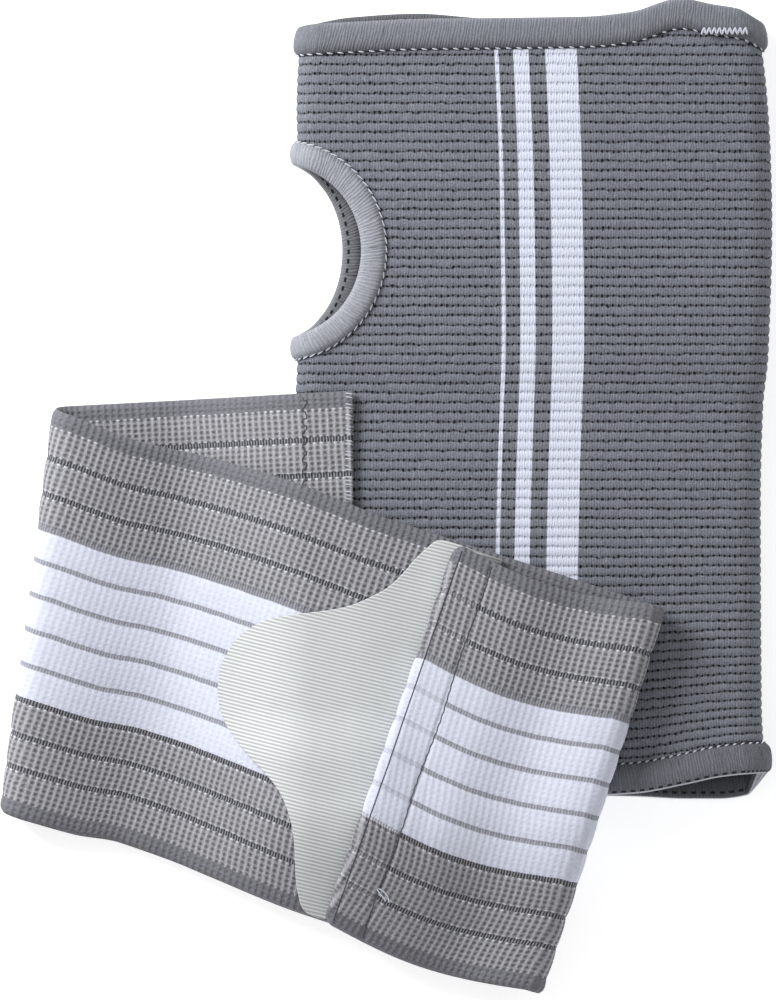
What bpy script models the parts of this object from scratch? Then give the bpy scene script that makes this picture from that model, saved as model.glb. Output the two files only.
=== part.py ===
"""An elastic wrist support lying flat, in metres with +Z up.

A knitted sleeve lies with its axis along Y, bound at both ends and round its thumb hole.
A wide striped strap is sewn to its front, folds back at the left, crosses the sleeve,
folds over at the right and ends in a hem, and a hook tab stands out from under that hem.
"""

import math

import bmesh
import bpy
import numpy as np

# The knitted sleeve, lying flat
SLEEVE_LENGTH = 0.143
SLEEVE_WIDTH = 0.0875
SLEEVE_HEIGHT = 0.009
SLEEVE_CROWN = 0.0015
SLEEVE_WALL = 0.0016
SLEEVE_LEFT = -0.0175
SLEEVE_WRIST_END = -0.0545

# The tapes that bind the sleeve's ends and its thumb hole
TAPE_THICKNESS = 0.001
END_TAPE_WIDTH = 0.0055
THUMB_TAPE_WIDTH = 0.0045
THUMB_TAPE_SEAT = 0.0004
GAP = 0.0003

# The thumb hole, measured over the knit from the left fold
THUMB_HOLE_HALF_LENGTH = 0.0156
THUMB_HOLE_FRONT_REACH = 0.0142
THUMB_HOLE_BACK_REACH = 0.0107
THUMB_HOLE_FROM_WRIST_END = 0.1005

# The strap, and how its runs lie
STRAP_WIDTH = 0.0738
RIGHT_SPREAD = 1.014
STRAP_THICKNESS = 0.0016
STRAP_AXIS_DOWN = math.radians(18.0)
LEFT_FOLD_LEAN = math.radians(7.5)
RIGHT_FOLD_LEAN = math.radians(17.6)
HEM_LEAN = math.radians(19.2)
LEFT_LOOP_RADIUS = 0.0036
RIGHT_LOOP_RADIUS = 0.0026
LAYER_GAP = 0.0006
LEFT_FOLD_TOP = (-0.0613, 0.01653)
RIGHT_FOLD_TOP = (0.0501, -0.0208)
HEM_TOP = (0.0126, -0.0094)
SEWN_END = 0.011
HEM_GAP = 0.0003
HEM_RETURN = 0.0095
HEM_TUCK = 0.0015
VALLEY_DISTANCE = 0.025
VALLEY_SKEW = 0.0045
SLEEVE_EDGE_RUN = 0.024
SLEEVE_EDGE_REST = 0.0035
STRAP_DROOP = 0.032
BRIDGE_RUN = 0.014
TOP_LAYER_SAG = 0.0018
TOP_LAYER_SIDE_SAG = 0.0022
HEM_GATHER = 0.0009

# The hook tab under the hem
TAB_THICKNESS = 0.001
TAB_REACH = 0.0339
TAB_ROOT = 0.0085
TAB_SEAT = 0.0006

# Sections of the sleeve: its edges are shares of its width, its height and crown are
# shares of their own sizes, and its lift is a share of what a tape adds under it
SECTION_COLUMNS = ("along", "left_out", "right_out", "height", "crown", "lift")
SECTIONS = (
    (0.00, 0.000, 0.001, 0.89, 0.0, 1.0),
    (0.05, 0.000, -0.005, 0.90, 0.3, 1.0),
    (0.12, 0.000, -0.010, 1.00, 0.9, 0.0),
    (0.38, 0.000, -0.012, 1.00, 1.0, 0.0),
    (0.50, -0.003, -0.007, 1.00, 1.0, 0.0),
    (0.57, -0.008, 0.004, 0.94, 1.0, 1.0),
    (0.74, -0.009, 0.012, 0.92, 1.0, 1.0),
    (0.84, -0.008, 0.008, 0.92, 1.0, 1.0),
    (0.88, -0.006, 0.004, 0.92, 1.0, 1.0),
    (0.93, -0.008, -0.003, 0.91, 0.8, 1.0),
    (1.00, -0.022, -0.019, 0.89, 0.4, 1.0),
)

# How far the sleeve's ends stand out, as shares of its length, from left to right
END_COLUMNS = ("across", "hand_front", "hand_back", "wrist_front", "wrist_back")
ENDS = (
    (0.00, -0.006, -0.006, 0.000, 0.000),
    (0.10, -0.003, 0.005, 0.000, 0.002),
    (0.25, 0.001, 0.010, 0.000, 0.003),
    (0.40, 0.002, 0.004, 0.000, 0.003),
    (0.62, 0.004, 0.002, 0.000, 0.001),
    (0.72, 0.010, 0.004, -0.003, 0.002),
    (0.83, 0.0275, 0.010, -0.015, 0.005),
    (0.90, 0.020, 0.013, -0.024, 0.005),
    (0.96, 0.014, 0.013, -0.028, 0.000),
    (1.00, 0.000, 0.000, -0.029, -0.029),
)

# How far the long run's edges lie off their straight lines, in metres, from loop to loop
WAVE_COLUMNS = ("along", "upper", "lower")
WAVES = (
    (0.00, 0.0000, 0.0000),
    (0.10, 0.0007, -0.0004),
    (0.19, -0.0001, -0.0016),
    (0.28, -0.0008, -0.0015),
    (0.37, -0.0010, -0.0010),
    (0.56, 0.0000, 0.0000),
    (1.00, 0.0000, 0.0000),
)

# The hook tab's upper and lower edges as shares of the strap's width, from root to tip
TAB_COLUMNS = ("reach", "upper", "lower")
TAB_EDGES = (
    (0.00, 0.517, -0.472),
    (0.06, 0.516, -0.478),
    (0.12, 0.509, -0.475),
    (0.16, 0.480, -0.464),
    (0.19, 0.455, -0.444),
    (0.235, 0.403, -0.406),
    (0.29, 0.356, -0.340),
    (0.345, 0.328, -0.285),
    (0.41, 0.299, -0.242),
    (0.48, 0.275, -0.208),
    (0.59, 0.247, -0.176),
    (0.70, 0.222, -0.150),
    (0.83, 0.188, -0.112),
    (0.90, 0.159, -0.081),
    (0.97, 0.106, -0.026),
    (1.00, 0.042, 0.032),
)

# How finely the faceted solids are divided
FOLD_STEPS = 4
FLAT_STEPS = 16
LENGTH_STEPS = 24
HOLE_STEPS = 40
STRAP_ACROSS_STEPS = 14
LOOP_STEPS = 8
SLOPE_STEP = 0.0005

TAPE_RISE = GAP + TAPE_THICKNESS
RING_POINTS = 2 * (2 * FOLD_STEPS + FLAT_STEPS)


def smooth(rows, columns, name, at):
    """The named column of a table, read at shares in its first column, on a curve that never overshoots."""
    shares = np.array([row[0] for row in rows])
    values = np.array([row[columns.index(name)] for row in rows])
    rise = np.diff(values) / np.diff(shares)
    same_way = rise[:-1] * rise[1:] > 0
    between = 2 * rise[:-1] * rise[1:] / np.where(same_way, rise[:-1] + rise[1:], 1)
    slopes = np.concatenate([rise[:1], np.where(same_way, between, 0), rise[-1:]])
    at = np.clip(at, shares[0], shares[-1])
    low = np.clip(np.searchsorted(shares, at, side="right") - 1, 0, len(rows) - 2)
    span = shares[low + 1] - shares[low]
    u = (at - shares[low]) / span
    from_low = (1 + 2 * u) * (1 - u) ** 2 * values[low] + u * (1 - u) ** 2 * span * slopes[low]
    to_high = u**2 * (3 - 2 * u) * values[low + 1] + u**2 * (u - 1) * span * slopes[low + 1]
    return from_low + to_high


def ease(start, end, at):
    """0 before start, 1 after end, and a smooth rise between."""
    u = np.clip((at - start) / (end - start), 0, 1)
    return u * u * (3 - 2 * u)


def direction(angle):
    return np.array([math.cos(angle), math.sin(angle)])


def section(y):
    """The sleeve's section at y: its left and right edges, underside, fold radius and crown."""
    along = (y - SLEEVE_WRIST_END) / SLEEVE_LENGTH

    def column(name):
        return smooth(SECTIONS, SECTION_COLUMNS, name, along)

    left = SLEEVE_LEFT - column("left_out") * SLEEVE_WIDTH
    right = SLEEVE_LEFT + (1 + column("right_out")) * SLEEVE_WIDTH
    radius = column("height") * SLEEVE_HEIGHT / 2
    low = column("lift") * TAPE_RISE
    return left, right, low, radius, column("crown") * SLEEVE_CROWN


def sleeve_top(x, y):
    """The height of the sleeve's front panel away from its folds."""
    left, right, low, radius, crown = section(y)
    across = np.clip((x - (left + right) / 2) / ((right - left) / 2), -1, 1)
    return low + 2 * radius + crown * (1 - across**2)


def sleeve_point(around, y, out):
    """A point near the sleeve's outer face.

    around is the distance over the knit from the left fold, positive over the front panel
    and negative under the back panel, and out is how far the point stands off that face.
    """
    left, right, low, radius, crown = section(y)
    quarter = math.pi / 2 * radius
    flat = right - left - 2 * radius
    distance = np.abs(around)
    from_left = np.clip(distance, 0, quarter) / radius
    from_right = np.clip(2 * quarter + flat - distance, 0, quarter) / radius
    reach = radius + out
    x_left = left + radius - reach * np.cos(from_left) + np.clip(distance - quarter, 0, flat)
    x = np.where(distance > quarter + flat, right - radius + reach * np.cos(from_right), x_left)
    rise = np.sin(np.where(distance > quarter + flat, from_right, from_left))
    middle = (left + right) / 2
    dome = crown * (1 - np.clip((x - middle) / ((right - left) / 2), -1, 1) ** 2) * rise
    z = low + radius + np.sign(around) * reach * rise + np.where(around > 0, dome, 0)
    return np.stack([x, y + 0 * x, z], axis=-1)


def ring_distance(index, y):
    """The distance over the knit of each point of a ring round the sleeve, and its share across."""
    left, right, _, radius, _ = section(y)
    quarter = math.pi / 2 * radius
    flat = right - left - 2 * radius
    half = 2 * FOLD_STEPS + FLAT_STEPS
    step = np.where(index <= half, index, 2 * half - index)
    in_left = np.clip(step, 0, FOLD_STEPS) / FOLD_STEPS
    in_flat = np.clip(step - FOLD_STEPS, 0, FLAT_STEPS) / FLAT_STEPS
    in_right = np.clip(step - FOLD_STEPS - FLAT_STEPS, 0, FOLD_STEPS) / FOLD_STEPS
    distance = quarter * (in_left + in_right) + flat * in_flat
    arc = radius * (1 - np.cos(in_left * math.pi / 2)) + radius * np.sin(in_right * math.pi / 2)
    across = (arc + flat * in_flat) / (right - left)
    return np.where(index <= half, distance, -distance), across


def end_line(index, end):
    """How far along Y the finished hand or wrist end lies at each point of a ring."""
    _, across = ring_distance(index, np.full(index.shape, SLEEVE_WRIST_END))
    front = index <= RING_POINTS // 2
    ahead = smooth(ENDS, END_COLUMNS, end + "_front", across)
    behind = smooth(ENDS, END_COLUMNS, end + "_back", across)
    stand = np.where(front, ahead, behind) * SLEEVE_LENGTH
    if end == "hand":
        return SLEEVE_WRIST_END + SLEEVE_LENGTH + stand
    return SLEEVE_WRIST_END - stand


def new_object(name, vertices, faces, colour, roughness):
    """A smooth-shaded object with one cloth material."""
    mesh = bpy.data.meshes.new(name)
    mesh.from_pydata([tuple(point) for point in vertices], [], faces)
    turned = bmesh.new()
    turned.from_mesh(mesh)
    bmesh.ops.recalc_face_normals(turned, faces=turned.faces)
    turned.to_mesh(mesh)
    turned.free()
    mesh.shade_smooth()
    mesh.set_sharp_from_angle(angle=math.radians(50))
    material = bpy.data.materials.new(name)
    material.use_nodes = True
    shader = material.node_tree.nodes["Principled BSDF"]
    shader.inputs["Base Color"].default_value = (*colour, 1)
    shader.inputs["Roughness"].default_value = roughness
    shader.inputs["Metallic"].default_value = 0
    mesh.materials.append(material)
    made = bpy.data.objects.new(name, mesh)
    bpy.context.scene.collection.objects.link(made)
    return made


def grid_faces(rows, columns, start, wrap_rows, wrap_columns):
    """Quads over a grid of points numbered row by row from start."""
    faces = []
    for row in range(rows if wrap_rows else rows - 1):
        below = start + row * columns
        above = start + (row + 1) % rows * columns
        for column in range(columns if wrap_columns else columns - 1):
            beside = (column + 1) % columns
            faces.append((below + column, below + beside, above + beside, above + column))
    return faces


def edge_faces(second, rows, columns, wrap_columns):
    """The walls that join a grid of points, numbered from 0, to one like it numbered from second."""
    loops = []
    if wrap_columns:
        last = (rows - 1) * columns
        loops.append(list(range(columns)) + [0])
        loops.append([last + c for c in range(columns)] + [last])
    else:
        bottom = list(range(columns))
        right = [row * columns + columns - 1 for row in range(1, rows)]
        top = [(rows - 1) * columns + c for c in range(columns - 2, -1, -1)]
        left = [row * columns for row in range(rows - 2, -1, -1)]
        loops.append(bottom + right + top + left)
    faces = []
    for loop in loops:
        for here, there in zip(loop, loop[1:]):
            faces.append((there, here, second + here, second + there))
    return faces


def make_sleeve():
    """The hollow knitted tube, cut for the thumb."""
    index = np.arange(RING_POINTS)
    wrist = end_line(index, "wrist") + TAPE_RISE
    hand = end_line(index, "hand") - TAPE_RISE
    outer, inner = [], []
    for step in range(LENGTH_STEPS + 1):
        y = wrist + (hand - wrist) * step / LENGTH_STEPS
        distance, _ = ring_distance(index, y)
        outer.append(sleeve_point(distance, y, 0))
        inner.append(sleeve_point(distance, y, -SLEEVE_WALL))
    points = np.concatenate([np.concatenate(outer), np.concatenate(inner)])
    rows = LENGTH_STEPS + 1
    inside = rows * RING_POINTS
    faces = grid_faces(rows, RING_POINTS, 0, False, True)
    faces += grid_faces(rows, RING_POINTS, inside, False, True)
    faces += edge_faces(inside, rows, RING_POINTS, True)
    sleeve = new_object("sleeve", points, faces, (0.134, 0.142, 0.168), 0.9)
    cutter = make_thumb_cutter()
    cut = sleeve.modifiers.new("thumb hole", "BOOLEAN")
    cut.object = cutter
    cut.operation = "DIFFERENCE"
    cut.solver = "EXACT"
    return [sleeve, cutter]


def hole_loop(angle, spread):
    """Where the thumb hole's edge lies, grown by spread, as distance over the knit and y."""
    side = np.sin(angle)
    reach = np.where(side > 0, THUMB_HOLE_FRONT_REACH, THUMB_HOLE_BACK_REACH)
    middle = SLEEVE_WRIST_END + THUMB_HOLE_FROM_WRIST_END
    return side * (reach + spread), middle + (THUMB_HOLE_HALF_LENGTH + spread) * np.cos(angle)


def make_thumb_cutter():
    """A curved plug through the knit at the left fold."""
    angle = np.arange(HOLE_STEPS) * 2 * math.pi / HOLE_STEPS
    levels = 4
    reach_in, reach_out = -SLEEVE_WALL - 0.0007, 0.0007
    layers = []
    for out in (reach_out, reach_in):
        for level in range(levels, 0, -1):
            around, y = hole_loop(angle, TAPE_RISE)
            middle = SLEEVE_WRIST_END + THUMB_HOLE_FROM_WRIST_END
            share = level / levels
            layers.append(sleeve_point(around * share, middle + (y - middle) * share, out))
    middle = np.array([SLEEVE_WRIST_END + THUMB_HOLE_FROM_WRIST_END])
    centres = [sleeve_point(np.zeros(1), middle, out) for out in (reach_out, reach_in)]
    points = np.concatenate(layers + centres)
    inside = levels * HOLE_STEPS
    faces = grid_faces(levels, HOLE_STEPS, 0, False, True)
    faces += grid_faces(levels, HOLE_STEPS, inside, False, True)
    for corner in range(HOLE_STEPS):
        beside = (corner + 1) % HOLE_STEPS
        top = (levels - 1) * HOLE_STEPS
        faces.append((top + corner, top + beside, 2 * inside))
        faces.append((inside + top + beside, inside + top + corner, 2 * inside + 1))
        faces.append((beside, corner, inside + corner, inside + beside))
    cutter = new_object("thumb_hole_cutter", points, faces, (0.5, 0.5, 0.5), 0.5)
    cutter.hide_render = True
    cutter.display_type = "WIRE"
    return cutter


def tape_profile(width, seat):
    """A tape's section: inward distance from the finished edge, and stand-off from the knit."""
    lip = TAPE_THICKNESS
    return (
        (0.0, -SLEEVE_WALL * 0.9),
        (0.0, -TAPE_RISE * 0.1),
        (lip * 0.35, TAPE_RISE * 0.65),
        (lip * 1.1, TAPE_RISE * 0.96),
        (width * 0.5, TAPE_RISE),
        (width - lip * 0.6, TAPE_RISE * 0.92),
        (width, TAPE_RISE * 0.6),
        (width, seat),
        (lip, seat),
        (lip, -SLEEVE_WALL * 0.9),
    )


def make_end_binding(name, end):
    """The tape round one end of the sleeve, over its edge and on its outer face."""
    index = np.arange(RING_POINTS)
    edge = end_line(index, end)
    inward = -1 if end == "hand" else 1
    profile = tape_profile(END_TAPE_WIDTH, GAP)
    rings = []
    for depth, out in profile:
        y = edge + inward * depth
        distance, _ = ring_distance(index, y)
        rings.append(sleeve_point(distance, y, out))
    faces = grid_faces(len(profile), RING_POINTS, 0, True, True)
    return new_object(name, np.concatenate(rings), faces, (0.243, 0.258, 0.296), 0.9)


def make_thumb_binding():
    """The tape round the thumb hole."""
    angle = np.arange(HOLE_STEPS) * 2 * math.pi / HOLE_STEPS
    profile = tape_profile(THUMB_TAPE_WIDTH, THUMB_TAPE_SEAT)
    rings = []
    for depth, out in profile:
        around, y = hole_loop(angle, depth)
        rings.append(sleeve_point(around, y, out))
    faces = grid_faces(len(profile), HOLE_STEPS, 0, True, True)
    return new_object("thumb_binding", np.concatenate(rings), faces, (0.347, 0.366, 0.407), 0.9)


def on_sleeve(x, y):
    """1 where the strap lies over the sleeve, easing to 0 where it has come down beside it."""
    beside = ease(SLEEVE_LEFT - SLEEVE_EDGE_RUN, SLEEVE_LEFT + SLEEVE_EDGE_REST, x)
    end = SLEEVE_WRIST_END - 0.0015
    return beside * ease(end - STRAP_DROOP, end, y)


def carrying_top(x, y):
    """The height of what the strap lies on: the front panel, and the tape on its wrist end."""
    inward = np.maximum(y - SLEEVE_WRIST_END, 0)
    tape = TAPE_RISE * (1 - ease(END_TAPE_WIDTH, 3 * END_TAPE_WIDTH, inward))
    return sleeve_top(np.maximum(x, SLEEVE_LEFT), SLEEVE_WRIST_END + inward) + tape


def low_run_height(x, y):
    """The middle of the strap's lowest run, from its sewn end to the left loop."""
    beside = ease(SLEEVE_LEFT - SLEEVE_EDGE_RUN, SLEEVE_LEFT + SLEEVE_EDGE_REST, x)
    return STRAP_THICKNESS / 2 + beside * (carrying_top(x, y) + GAP)


def middle_run_height(x, y):
    """The middle of the long run that crosses the sleeve."""
    down = STRAP_THICKNESS * 1.5 + LAYER_GAP
    over = SLEEVE_HEIGHT + SLEEVE_CROWN + 2 * GAP + STRAP_THICKNESS / 2
    sewn_edge = SLEEVE_LEFT + SEWN_END
    over_sewn = carrying_top(sewn_edge, y) + GAP + STRAP_THICKNESS * 1.5 + LAYER_GAP
    over = over_sewn + (over - over_sewn) * ease(sewn_edge, sewn_edge + BRIDGE_RUN, x)
    axis = direction(math.pi / 2 - LEFT_FOLD_LEAN)
    outward = np.array([-axis[1], axis[0]])
    from_top = (x - LEFT_FOLD_TOP[0], y - LEFT_FOLD_TOP[1])
    inward = -(from_top[0] * outward[0] + from_top[1] * outward[1]) - LEFT_LOOP_RADIUS
    below = -(from_top[0] * axis[0] + from_top[1] * axis[1]) / STRAP_WIDTH
    valley = VALLEY_DISTANCE + VALLEY_SKEW * (1 - 2 * np.clip(below, 0, 1))
    loop = (2 * LEFT_LOOP_RADIUS - STRAP_THICKNESS - LAYER_GAP) * (1 - ease(0, valley, inward))
    return down + (over - down) * on_sleeve(x, y) + loop


def over_middle_run(x, y, stand):
    """A height that keeps stand, square to the slope, over the middle of the long run."""
    height = middle_run_height(x, y)
    slope_x = (middle_run_height(x + SLOPE_STEP, y) - height) / SLOPE_STEP
    slope_y = (middle_run_height(x, y + SLOPE_STEP) - height) / SLOPE_STEP
    return height + stand * np.sqrt(1 + slope_x**2 + slope_y**2)


def top_run_height(x, y, inward, length):
    """The middle of the run that lies back on top, inward from the right loop to the hem."""
    sagging = np.clip(inward / (length - HEM_RETURN * 1.2), 0, 1)
    over_tab = 2 * STRAP_THICKNESS + HEM_GAP + GAP + TAB_THICKNESS + TAB_SEAT
    apart = 2 * RIGHT_LOOP_RADIUS + (over_tab - 2 * RIGHT_LOOP_RADIUS) * ease(0, 1, sagging)
    return over_middle_run(x, y, apart - TOP_LAYER_SAG * np.sin(math.pi * sagging) ** 2)


def turn(start, travel, axis, outward, radius, distance):
    """Follows a flat strip round a loop.

    start is where the strip meets the loop and travel is its direction there. Returns the
    plan position after distance, and how far round the loop it is, from 0 to pi.
    """
    across = distance * (travel @ outward)
    angle = np.clip(across / radius, 0, math.pi)
    excursion = radius * np.sin(angle) - np.maximum(across - math.pi * radius, 0)
    along = distance * (travel @ axis)
    return start + along[..., None] * axis + excursion[..., None] * outward, angle


def meet(point, travel, on_line, line):
    """How far from each point, along travel, a line through on_line lies."""
    normal = np.array([-line[1], line[0]])
    return ((on_line - point) @ normal) / (travel @ normal)


def strap_layout(across):
    """The strap's lines in plan for each distance across it, from its upper edge down."""
    travel = direction(-STRAP_AXIS_DOWN)
    down = np.array([travel[1], -travel[0]])
    left_axis = direction(math.pi / 2 - LEFT_FOLD_LEAN)
    right_axis = direction(math.pi / 2 - RIGHT_FOLD_LEAN)
    left_out = np.array([-left_axis[1], left_axis[0]])
    right_out = np.array([right_axis[1], -right_axis[0]])
    upper = np.array(LEFT_FOLD_TOP)
    left_line = upper + across[..., None] * down
    right_line = upper + RIGHT_SPREAD * across[..., None] * down
    left_tangent = upper - LEFT_LOOP_RADIUS * left_out
    right_tangent = np.array(RIGHT_FOLD_TOP) - RIGHT_LOOP_RADIUS * right_out
    to_left = meet(left_line, travel, left_tangent, left_axis)
    to_right = meet(right_line, travel, right_tangent, right_axis)
    from_left = left_line + to_left[..., None] * travel
    from_right = right_line + to_right[..., None] * travel
    return travel, down, left_axis, right_axis, left_out, right_out, from_left, from_right


def strap_middle(across):
    """The middle surface of the strap: an array of points, lengthwise then across."""
    lines = strap_layout(across)
    travel, down, left_axis, right_axis, left_out, right_out, at_left, at_right = lines
    low_way = -2 * (travel @ left_axis) * left_axis + travel
    rows = []

    end_x = SLEEVE_LEFT + SEWN_END
    leave = math.pi * LEFT_LOOP_RADIUS / (-travel @ left_out)
    back, _ = turn(at_left, -travel, left_axis, left_out, LEFT_LOOP_RADIUS, leave + 0 * across)
    run = (end_x - back[:, 0]) / low_way[0]
    for share in np.linspace(1, 0, 11)[:-1]:
        plan = back + (run * share)[:, None] * low_way
        rows.append(np.column_stack([plan, low_run_height(plan[:, 0], plan[:, 1])]))

    for share in np.linspace(1, 0, LOOP_STEPS + 1):
        plan, angle = turn(
            at_left, -travel, left_axis, left_out, LEFT_LOOP_RADIUS, leave * share + 0 * across
        )
        low = low_run_height(plan[:, 0], plan[:, 1])
        high = middle_run_height(plan[:, 0], plan[:, 1])
        rows.append(np.column_stack([plan, (low + high + (high - low) * np.cos(angle)) / 2]))

    for share in np.linspace(0, 1, 25)[1:-1]:
        upper = smooth(WAVES, WAVE_COLUMNS, "upper", share)
        lower = smooth(WAVES, WAVE_COLUMNS, "lower", share)
        aside = upper + (lower - upper) * across / STRAP_WIDTH
        plan = at_left + (at_right - at_left) * share + aside[:, None] * down
        rows.append(np.column_stack([plan, middle_run_height(plan[:, 0], plan[:, 1])]))

    hem_line = direction(math.pi / 2 - HEM_LEAN)
    hem_out = np.array([-hem_line[1], hem_line[0]])
    hem_radius = (STRAP_THICKNESS + HEM_GAP) / 2
    leave = math.pi * RIGHT_LOOP_RADIUS / (travel @ right_out)
    back, _ = turn(at_right, travel, right_axis, right_out, RIGHT_LOOP_RADIUS, leave + 0 * across)
    top_way = 2 * (travel @ right_axis) * right_axis - travel
    hem_start = np.array(HEM_TOP) - hem_radius * hem_out
    run = meet(back, top_way, hem_start, hem_line)
    inward_share = top_way @ -right_out
    length = run * inward_share

    def side_sag(inward):
        bend = np.sin(math.pi * np.clip(inward / length, 0, 1))
        gather = HEM_GATHER * across / STRAP_WIDTH * np.clip(inward / length, 0, 1)
        return (gather - TOP_LAYER_SIDE_SAG * bend)[:, None] * right_axis

    for share in np.linspace(0, 1, LOOP_STEPS + 1):
        plan, angle = turn(
            at_right, travel, right_axis, right_out, RIGHT_LOOP_RADIUS, leave * share + 0 * across
        )
        low = middle_run_height(plan[:, 0], plan[:, 1])
        high = over_middle_run(plan[:, 0], plan[:, 1], 2 * RIGHT_LOOP_RADIUS)
        rows.append(np.column_stack([plan, (low + high - (high - low) * np.cos(angle)) / 2]))

    for share in np.linspace(0, 1, 10)[1:]:
        inward = length * share
        plan = back + (run * share)[:, None] * top_way + side_sag(inward)
        height = top_run_height(plan[:, 0], plan[:, 1], inward, length)
        rows.append(np.column_stack([plan, height]))

    at_hem = back + run[:, None] * top_way
    leave = math.pi * hem_radius / (top_way @ hem_out)
    under = HEM_RETURN / (top_way @ hem_out)
    shares = list(np.linspace(0, leave, LOOP_STEPS + 1)[1:])
    for distance in shares + [leave + under * part for part in (0.33, 0.67, 1)]:
        plan, angle = turn(at_hem, top_way, hem_line, hem_out, hem_radius, distance + 0 * across)
        aside = ((plan - at_hem.mean(axis=0)) @ hem_line) / (STRAP_WIDTH / 2)
        plan = plan - (HEM_TUCK * aside * angle / math.pi)[:, None] * hem_line
        inward = length - (plan - at_hem) @ right_out
        plan = plan + side_sag(inward)
        height = top_run_height(plan[:, 0], plan[:, 1], inward, length)
        height = height - hem_radius * (1 - np.cos(angle))
        rows.append(np.column_stack([plan, height]))
    return np.array(rows)


def thicken(middle, thickness):
    """Points on both faces of a sheet whose middle surface is a grid, and its closed faces."""
    lengthwise = np.gradient(middle, axis=0)
    crosswise = np.gradient(middle, axis=1)
    normal = np.cross(crosswise, lengthwise)
    normal /= np.linalg.norm(normal, axis=-1, keepdims=True)
    rows, columns = middle.shape[:2]
    first = (middle + normal * thickness / 2).reshape(-1, 3)
    second = (middle - normal * thickness / 2).reshape(-1, 3)
    count = rows * columns
    faces = grid_faces(rows, columns, 0, False, False)
    faces += grid_faces(rows, columns, count, False, False)
    faces += edge_faces(count, rows, columns, False)
    return np.concatenate([first, second]), faces


def make_strap():
    """The striped elastic strap, in one piece from its sewn end to its hem."""
    across = np.linspace(0, STRAP_WIDTH, STRAP_ACROSS_STEPS + 1)
    points, faces = thicken(strap_middle(across), STRAP_THICKNESS)
    return new_object("strap", points, faces, (0.36, 0.36, 0.40), 0.85)


def make_hook_tab():
    """The ribbed hook tab, a bell-shaped plate on the middle run and under the hem."""
    hem_line = direction(math.pi / 2 - HEM_LEAN)
    outward = np.array([-hem_line[1], hem_line[0]])
    root = np.array(HEM_TOP) - hem_line * STRAP_WIDTH / 2
    reaches = [-TAB_ROOT, -TAB_ROOT / 2] + [TAB_REACH * row[0] for row in TAB_EDGES]
    columns = 14
    stand = STRAP_THICKNESS / 2 + TAB_SEAT + TAB_THICKNESS / 2
    middle = []
    for reach in reaches:
        share = max(reach / TAB_REACH, 0)
        upper = smooth(TAB_EDGES, TAB_COLUMNS, "upper", share) * STRAP_WIDTH
        lower = smooth(TAB_EDGES, TAB_COLUMNS, "lower", share) * STRAP_WIDTH
        line = []
        for step in range(columns + 1):
            side = upper + (lower - upper) * step / columns
            x, y = root + outward * reach + hem_line * side
            line.append((x, y, float(over_middle_run(x, y, stand))))
        middle.append(line)
    points, faces = thicken(np.array(middle), TAB_THICKNESS)
    return new_object("hook_tab", points, faces, (0.64, 0.66, 0.66), 0.6)


def centre_on_floor(objects):
    """Moves every mesh so that the whole stands on z = 0 with the origin under its middle."""
    solid = [made for made in objects if not made.hide_render]
    corners = np.array([vertex.co for made in solid for vertex in made.data.vertices])
    low, high = corners.min(axis=0), corners.max(axis=0)
    shift = ((low[0] + high[0]) / 2, (low[1] + high[1]) / 2, low[2])
    for made in objects:
        for vertex in made.data.vertices:
            vertex.co.x -= shift[0]
            vertex.co.y -= shift[1]
            vertex.co.z -= shift[2]


def main():
    for old in list(bpy.data.objects):
        bpy.data.objects.remove(old, do_unlink=True)
    made = make_sleeve()
    made.append(make_end_binding("hand_binding", "hand"))
    made.append(make_end_binding("wrist_binding", "wrist"))
    made.append(make_thumb_binding())
    made.append(make_strap())
    made.append(make_hook_tab())
    centre_on_floor(made)


main()
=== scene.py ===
"""The finish of the wrist support: knit, tapes, striped strap, hook tab, stitches and threads."""

import math

import bpy
import numpy as np
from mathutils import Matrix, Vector


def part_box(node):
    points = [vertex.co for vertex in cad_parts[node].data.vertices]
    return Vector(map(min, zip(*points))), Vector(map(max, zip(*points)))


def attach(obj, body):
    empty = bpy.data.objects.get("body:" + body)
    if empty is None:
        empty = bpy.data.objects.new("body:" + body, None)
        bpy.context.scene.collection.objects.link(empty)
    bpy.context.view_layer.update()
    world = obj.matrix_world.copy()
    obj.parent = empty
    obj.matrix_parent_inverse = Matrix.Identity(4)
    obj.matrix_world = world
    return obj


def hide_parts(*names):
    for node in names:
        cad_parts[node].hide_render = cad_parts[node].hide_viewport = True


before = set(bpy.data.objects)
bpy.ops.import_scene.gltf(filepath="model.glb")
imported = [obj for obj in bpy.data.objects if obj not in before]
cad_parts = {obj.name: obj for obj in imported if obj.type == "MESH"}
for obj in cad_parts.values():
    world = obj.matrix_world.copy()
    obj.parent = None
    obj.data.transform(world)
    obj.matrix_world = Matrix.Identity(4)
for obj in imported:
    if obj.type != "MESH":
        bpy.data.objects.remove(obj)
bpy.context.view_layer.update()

# Sizes that the solids were made from, in metres
SLEEVE_LENGTH = 0.143
SLEEVE_WIDTH = 0.0875
SLEEVE_HEIGHT = 0.009
SLEEVE_CROWN = 0.0015
SLEEVE_WALL = 0.0016
SLEEVE_LEFT = -0.0175
SLEEVE_WRIST_END = -0.0545
TAPE_THICKNESS = 0.001
END_TAPE_WIDTH = 0.0055
THUMB_TAPE_WIDTH = 0.0045
THUMB_TAPE_SEAT = 0.0004
GAP = 0.0003
THUMB_HOLE_HALF_LENGTH = 0.0156
THUMB_HOLE_FRONT_REACH = 0.0142
THUMB_HOLE_BACK_REACH = 0.0107
THUMB_HOLE_FROM_WRIST_END = 0.1005
STRAP_WIDTH = 0.0738
RIGHT_SPREAD = 1.014
STRAP_THICKNESS = 0.0016
STRAP_AXIS_DOWN = math.radians(18.0)
LEFT_FOLD_LEAN = math.radians(7.5)
RIGHT_FOLD_LEAN = math.radians(17.6)
HEM_LEAN = math.radians(19.2)
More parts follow.
